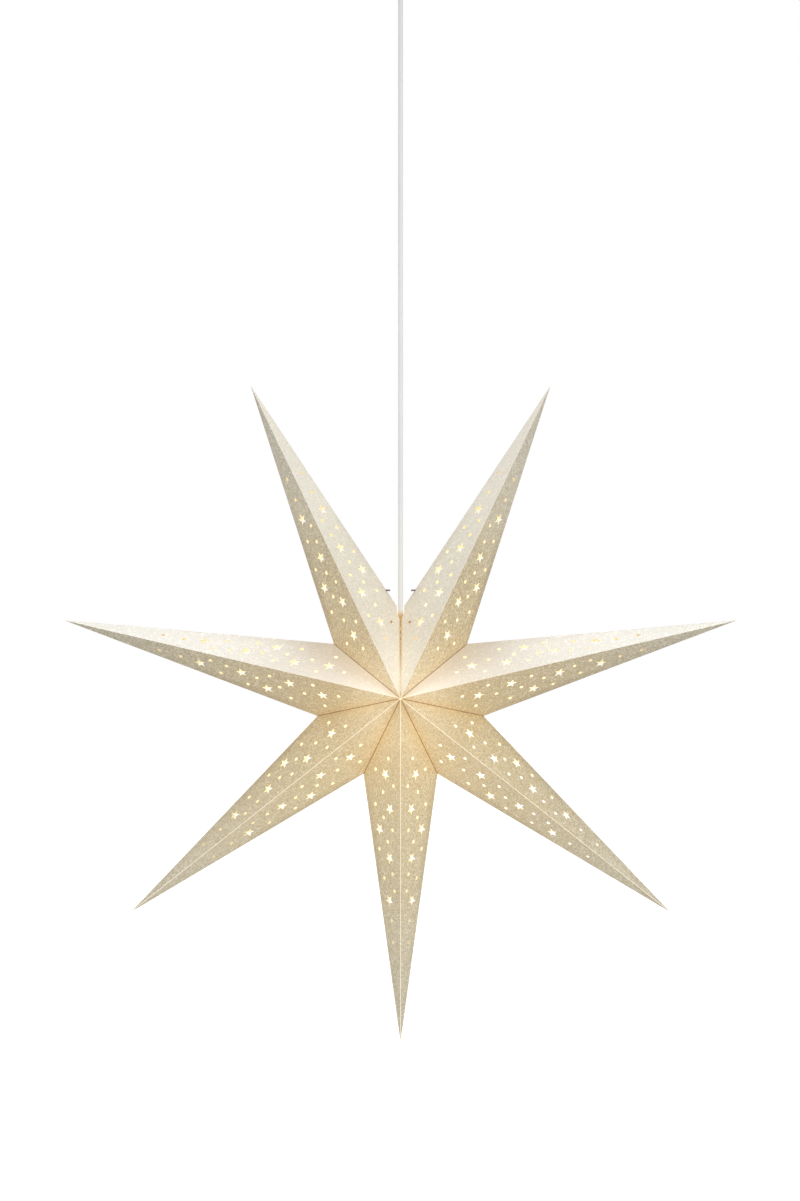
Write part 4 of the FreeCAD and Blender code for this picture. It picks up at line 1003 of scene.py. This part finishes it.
# %% Metals
METAL = {"Metallic": 1.0}
zinc_plate = two_toned("zinc_plate", (0.50, 0.51, 0.53), (0.68, 0.69, 0.70), 500, (0.28, 0.46),
                       fixed=METAL)
darkened_wire = two_toned("darkened_wire", (0.13, 0.10, 0.11), (0.22, 0.175, 0.18), 900,
                          (0.40, 0.62), fixed={"Metallic": 0.7})
turned_brass = two_toned("turned_brass", (0.66, 0.46, 0.19), (0.78, 0.58, 0.27), 500, (0.20, 0.36),
                         stretch=(0.3, 0.3, 3), fixed=METAL)
nickel_plate = two_toned("nickel_plate", (0.58, 0.57, 0.54), (0.70, 0.69, 0.65), 400, (0.18, 0.34),
                         stretch=(0.3, 0.3, 3), fixed=METAL)

finish(zinc_plate, "ceiling_bracket", "canopy_screws", "cord_grip_screw", "block_screw",
       "holder_grip_screw", "bulb_leads")
finish(darkened_wire, "hanger_wire", "seam_clip_front", "seam_clip_back")
finish(turned_brass, "terminal_tubes", "terminal_screws", "holder_terminal_screws", "shell_contact",
       "centre_contact", "bulb_contact")
finish(nickel_plate, "bulb_cap")

# %% [markdown]
# ## Glass and the lit filaments
#
# The envelope is clear thin glass. Its mesh has an outer and an inner wall, so plain refraction is
# right and no thin-wall trick is needed. The black ring round the centre contact is glass too, but
# opaque. The filaments are coated sticks that glow warm. Most of the lamp's light in this scene
# comes from the paper itself, so the sticks only need to look lit.

# %% Glass and filaments
thin_glass = two_toned("thin_glass", (0.97, 0.975, 0.965), (0.99, 0.99, 0.985), 60, (0.0, 0.025),
                       depth=0.000004, fixed={"Transmission Weight": 1.0, "IOR": 1.47})
black_glass = two_toned("black_glass", (0.006, 0.005, 0.008), (0.016, 0.013, 0.018), 400,
                        (0.06, 0.16))


def lit_filament():
    material, w = shader("lit_filament")
    beads = w.node("ShaderNodeTexVoronoi", {"Vector": w.place(), "Scale": 1400}).outputs["Distance"]
    warm = w.mixed(w.rise(beads, 0.1, 0.6), (1.0, 0.80, 0.46, 1), (1.0, 0.55, 0.20, 1))
    show(w, w.node("ShaderNodeBsdfPrincipled", {
        "Base Color": warm, "Roughness": 0.6, "Emission Color": warm,
        "Emission Strength": 3.0}).outputs[0])
    return material


finish(thin_glass, "bulb_glass", "bulb_stem")
finish(black_glass, "bulb_insulator")
finish(lit_filament(), "bulb_filaments")

# %% [markdown]
# ## Grip ribs
#
# Fingers need a hold to screw the lamp holder's skirt and the ceiling's cord grip, so both barrels
# carry upright ribs. One rib is a ball pulled apart into a rod with round ends, and the tree sets
# copies of it round the barrel. The cord grip's ribs leave out the side where its screw is.

# %% Tree: ribs round a barrel
def ribs_tree():
    tree = bpy.data.node_groups.new("ribs_round_a_barrel", "GeometryNodeTree")
    sockets(tree, "Geometry", "Workbench")
    sockets(tree, "Int", "Count")
    sockets(tree, "Float", "First turn", "Step", "Barrel radius", "Middle height", "Rib length",
            "Rib width", "Proud")
    sockets(tree, "Material", "Material")
    sockets(tree, "Geometry", "Ribs", way="OUTPUT")
    w = Wiring(tree)
    given = w.node("NodeGroupInput").outputs
    half = w.times(given["Rib width"], 0.5)
    ball = w.node("GeometryNodeMeshUVSphere", {"Segments": 10, "Rings": 8, "Radius": half})
    height = w.split(w.node("GeometryNodeInputPosition").outputs[0])[2]
    pull = w.times(w.math("SIGN", height), w.line(given["Rib length"], 0.5, w.times(half, -1.0)))
    rod = w.node("GeometryNodeSetPosition", {"Geometry": ball.outputs[0],
                                             "Offset": w.joined({2: pull})})
    flattened = w.joined({0: w.math("DIVIDE", given["Proud"], half), 1: 1.0, 2: 1.0})
    at_side = w.joined({0: given["Barrel radius"], 2: given["Middle height"]})
    rib = w.node("GeometryNodeTransform", {"Geometry": rod.outputs[0], "Translation": at_side,
                                           "Scale": flattened})
    middle = w.node("GeometryNodeMeshLine", {"Count": given["Count"], "Offset": (0, 0, 0)})
    turn = w.line(w.node("GeometryNodeInputIndex").outputs[0], given["Step"], given["First turn"])
    ring = w.node("GeometryNodeInstanceOnPoints", {
        "Points": middle.outputs[0], "Instance": rib.outputs[0],
        "Rotation": w.joined({2: turn})})
    real = w.node("GeometryNodeRealizeInstances", {"Geometry": ring.outputs[0]})
    smooth = w.node("GeometryNodeSetShadeSmooth", {"Geometry": real.outputs[0]})
    painted = w.node("GeometryNodeSetMaterial", {"Geometry": smooth.outputs[0],
                                                 "Material": given["Material"]})
    w.node("NodeGroupOutput", {"Ribs": painted.outputs[0]})
    return tree


ribs_round_a_barrel = ribs_tree()
for name, body, sizes in (
        ("holder_ribs", "holder", {
            "Count": 24, "First turn": 0.0, "Step": math.tau / 24, "Barrel radius": 0.0140,
            "Middle height": STAR_CENTRE.z + 0.0195, "Rib length": 0.017, "Rib width": 0.0016,
            "Proud": 0.0007, "Material": holder_cream}),
        ("cord_grip_ribs", "ceiling", {
            "Count": 21, "First turn": math.tau / 12, "Step": math.tau / 24,
            "Barrel radius": 0.0095, "Middle height": -0.0625, "Rib length": 0.0105,
            "Rib width": 0.0012, "Proud": 0.0005, "Material": cup_white})):
    ribs = made_plain(ribs_round_a_barrel, sizes, name)
    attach(ribs, body)
    print(f"{name}: {sizes['Count']} ribs, {len(ribs.data.polygons)} faces")

bpy.data.objects.remove(bench)
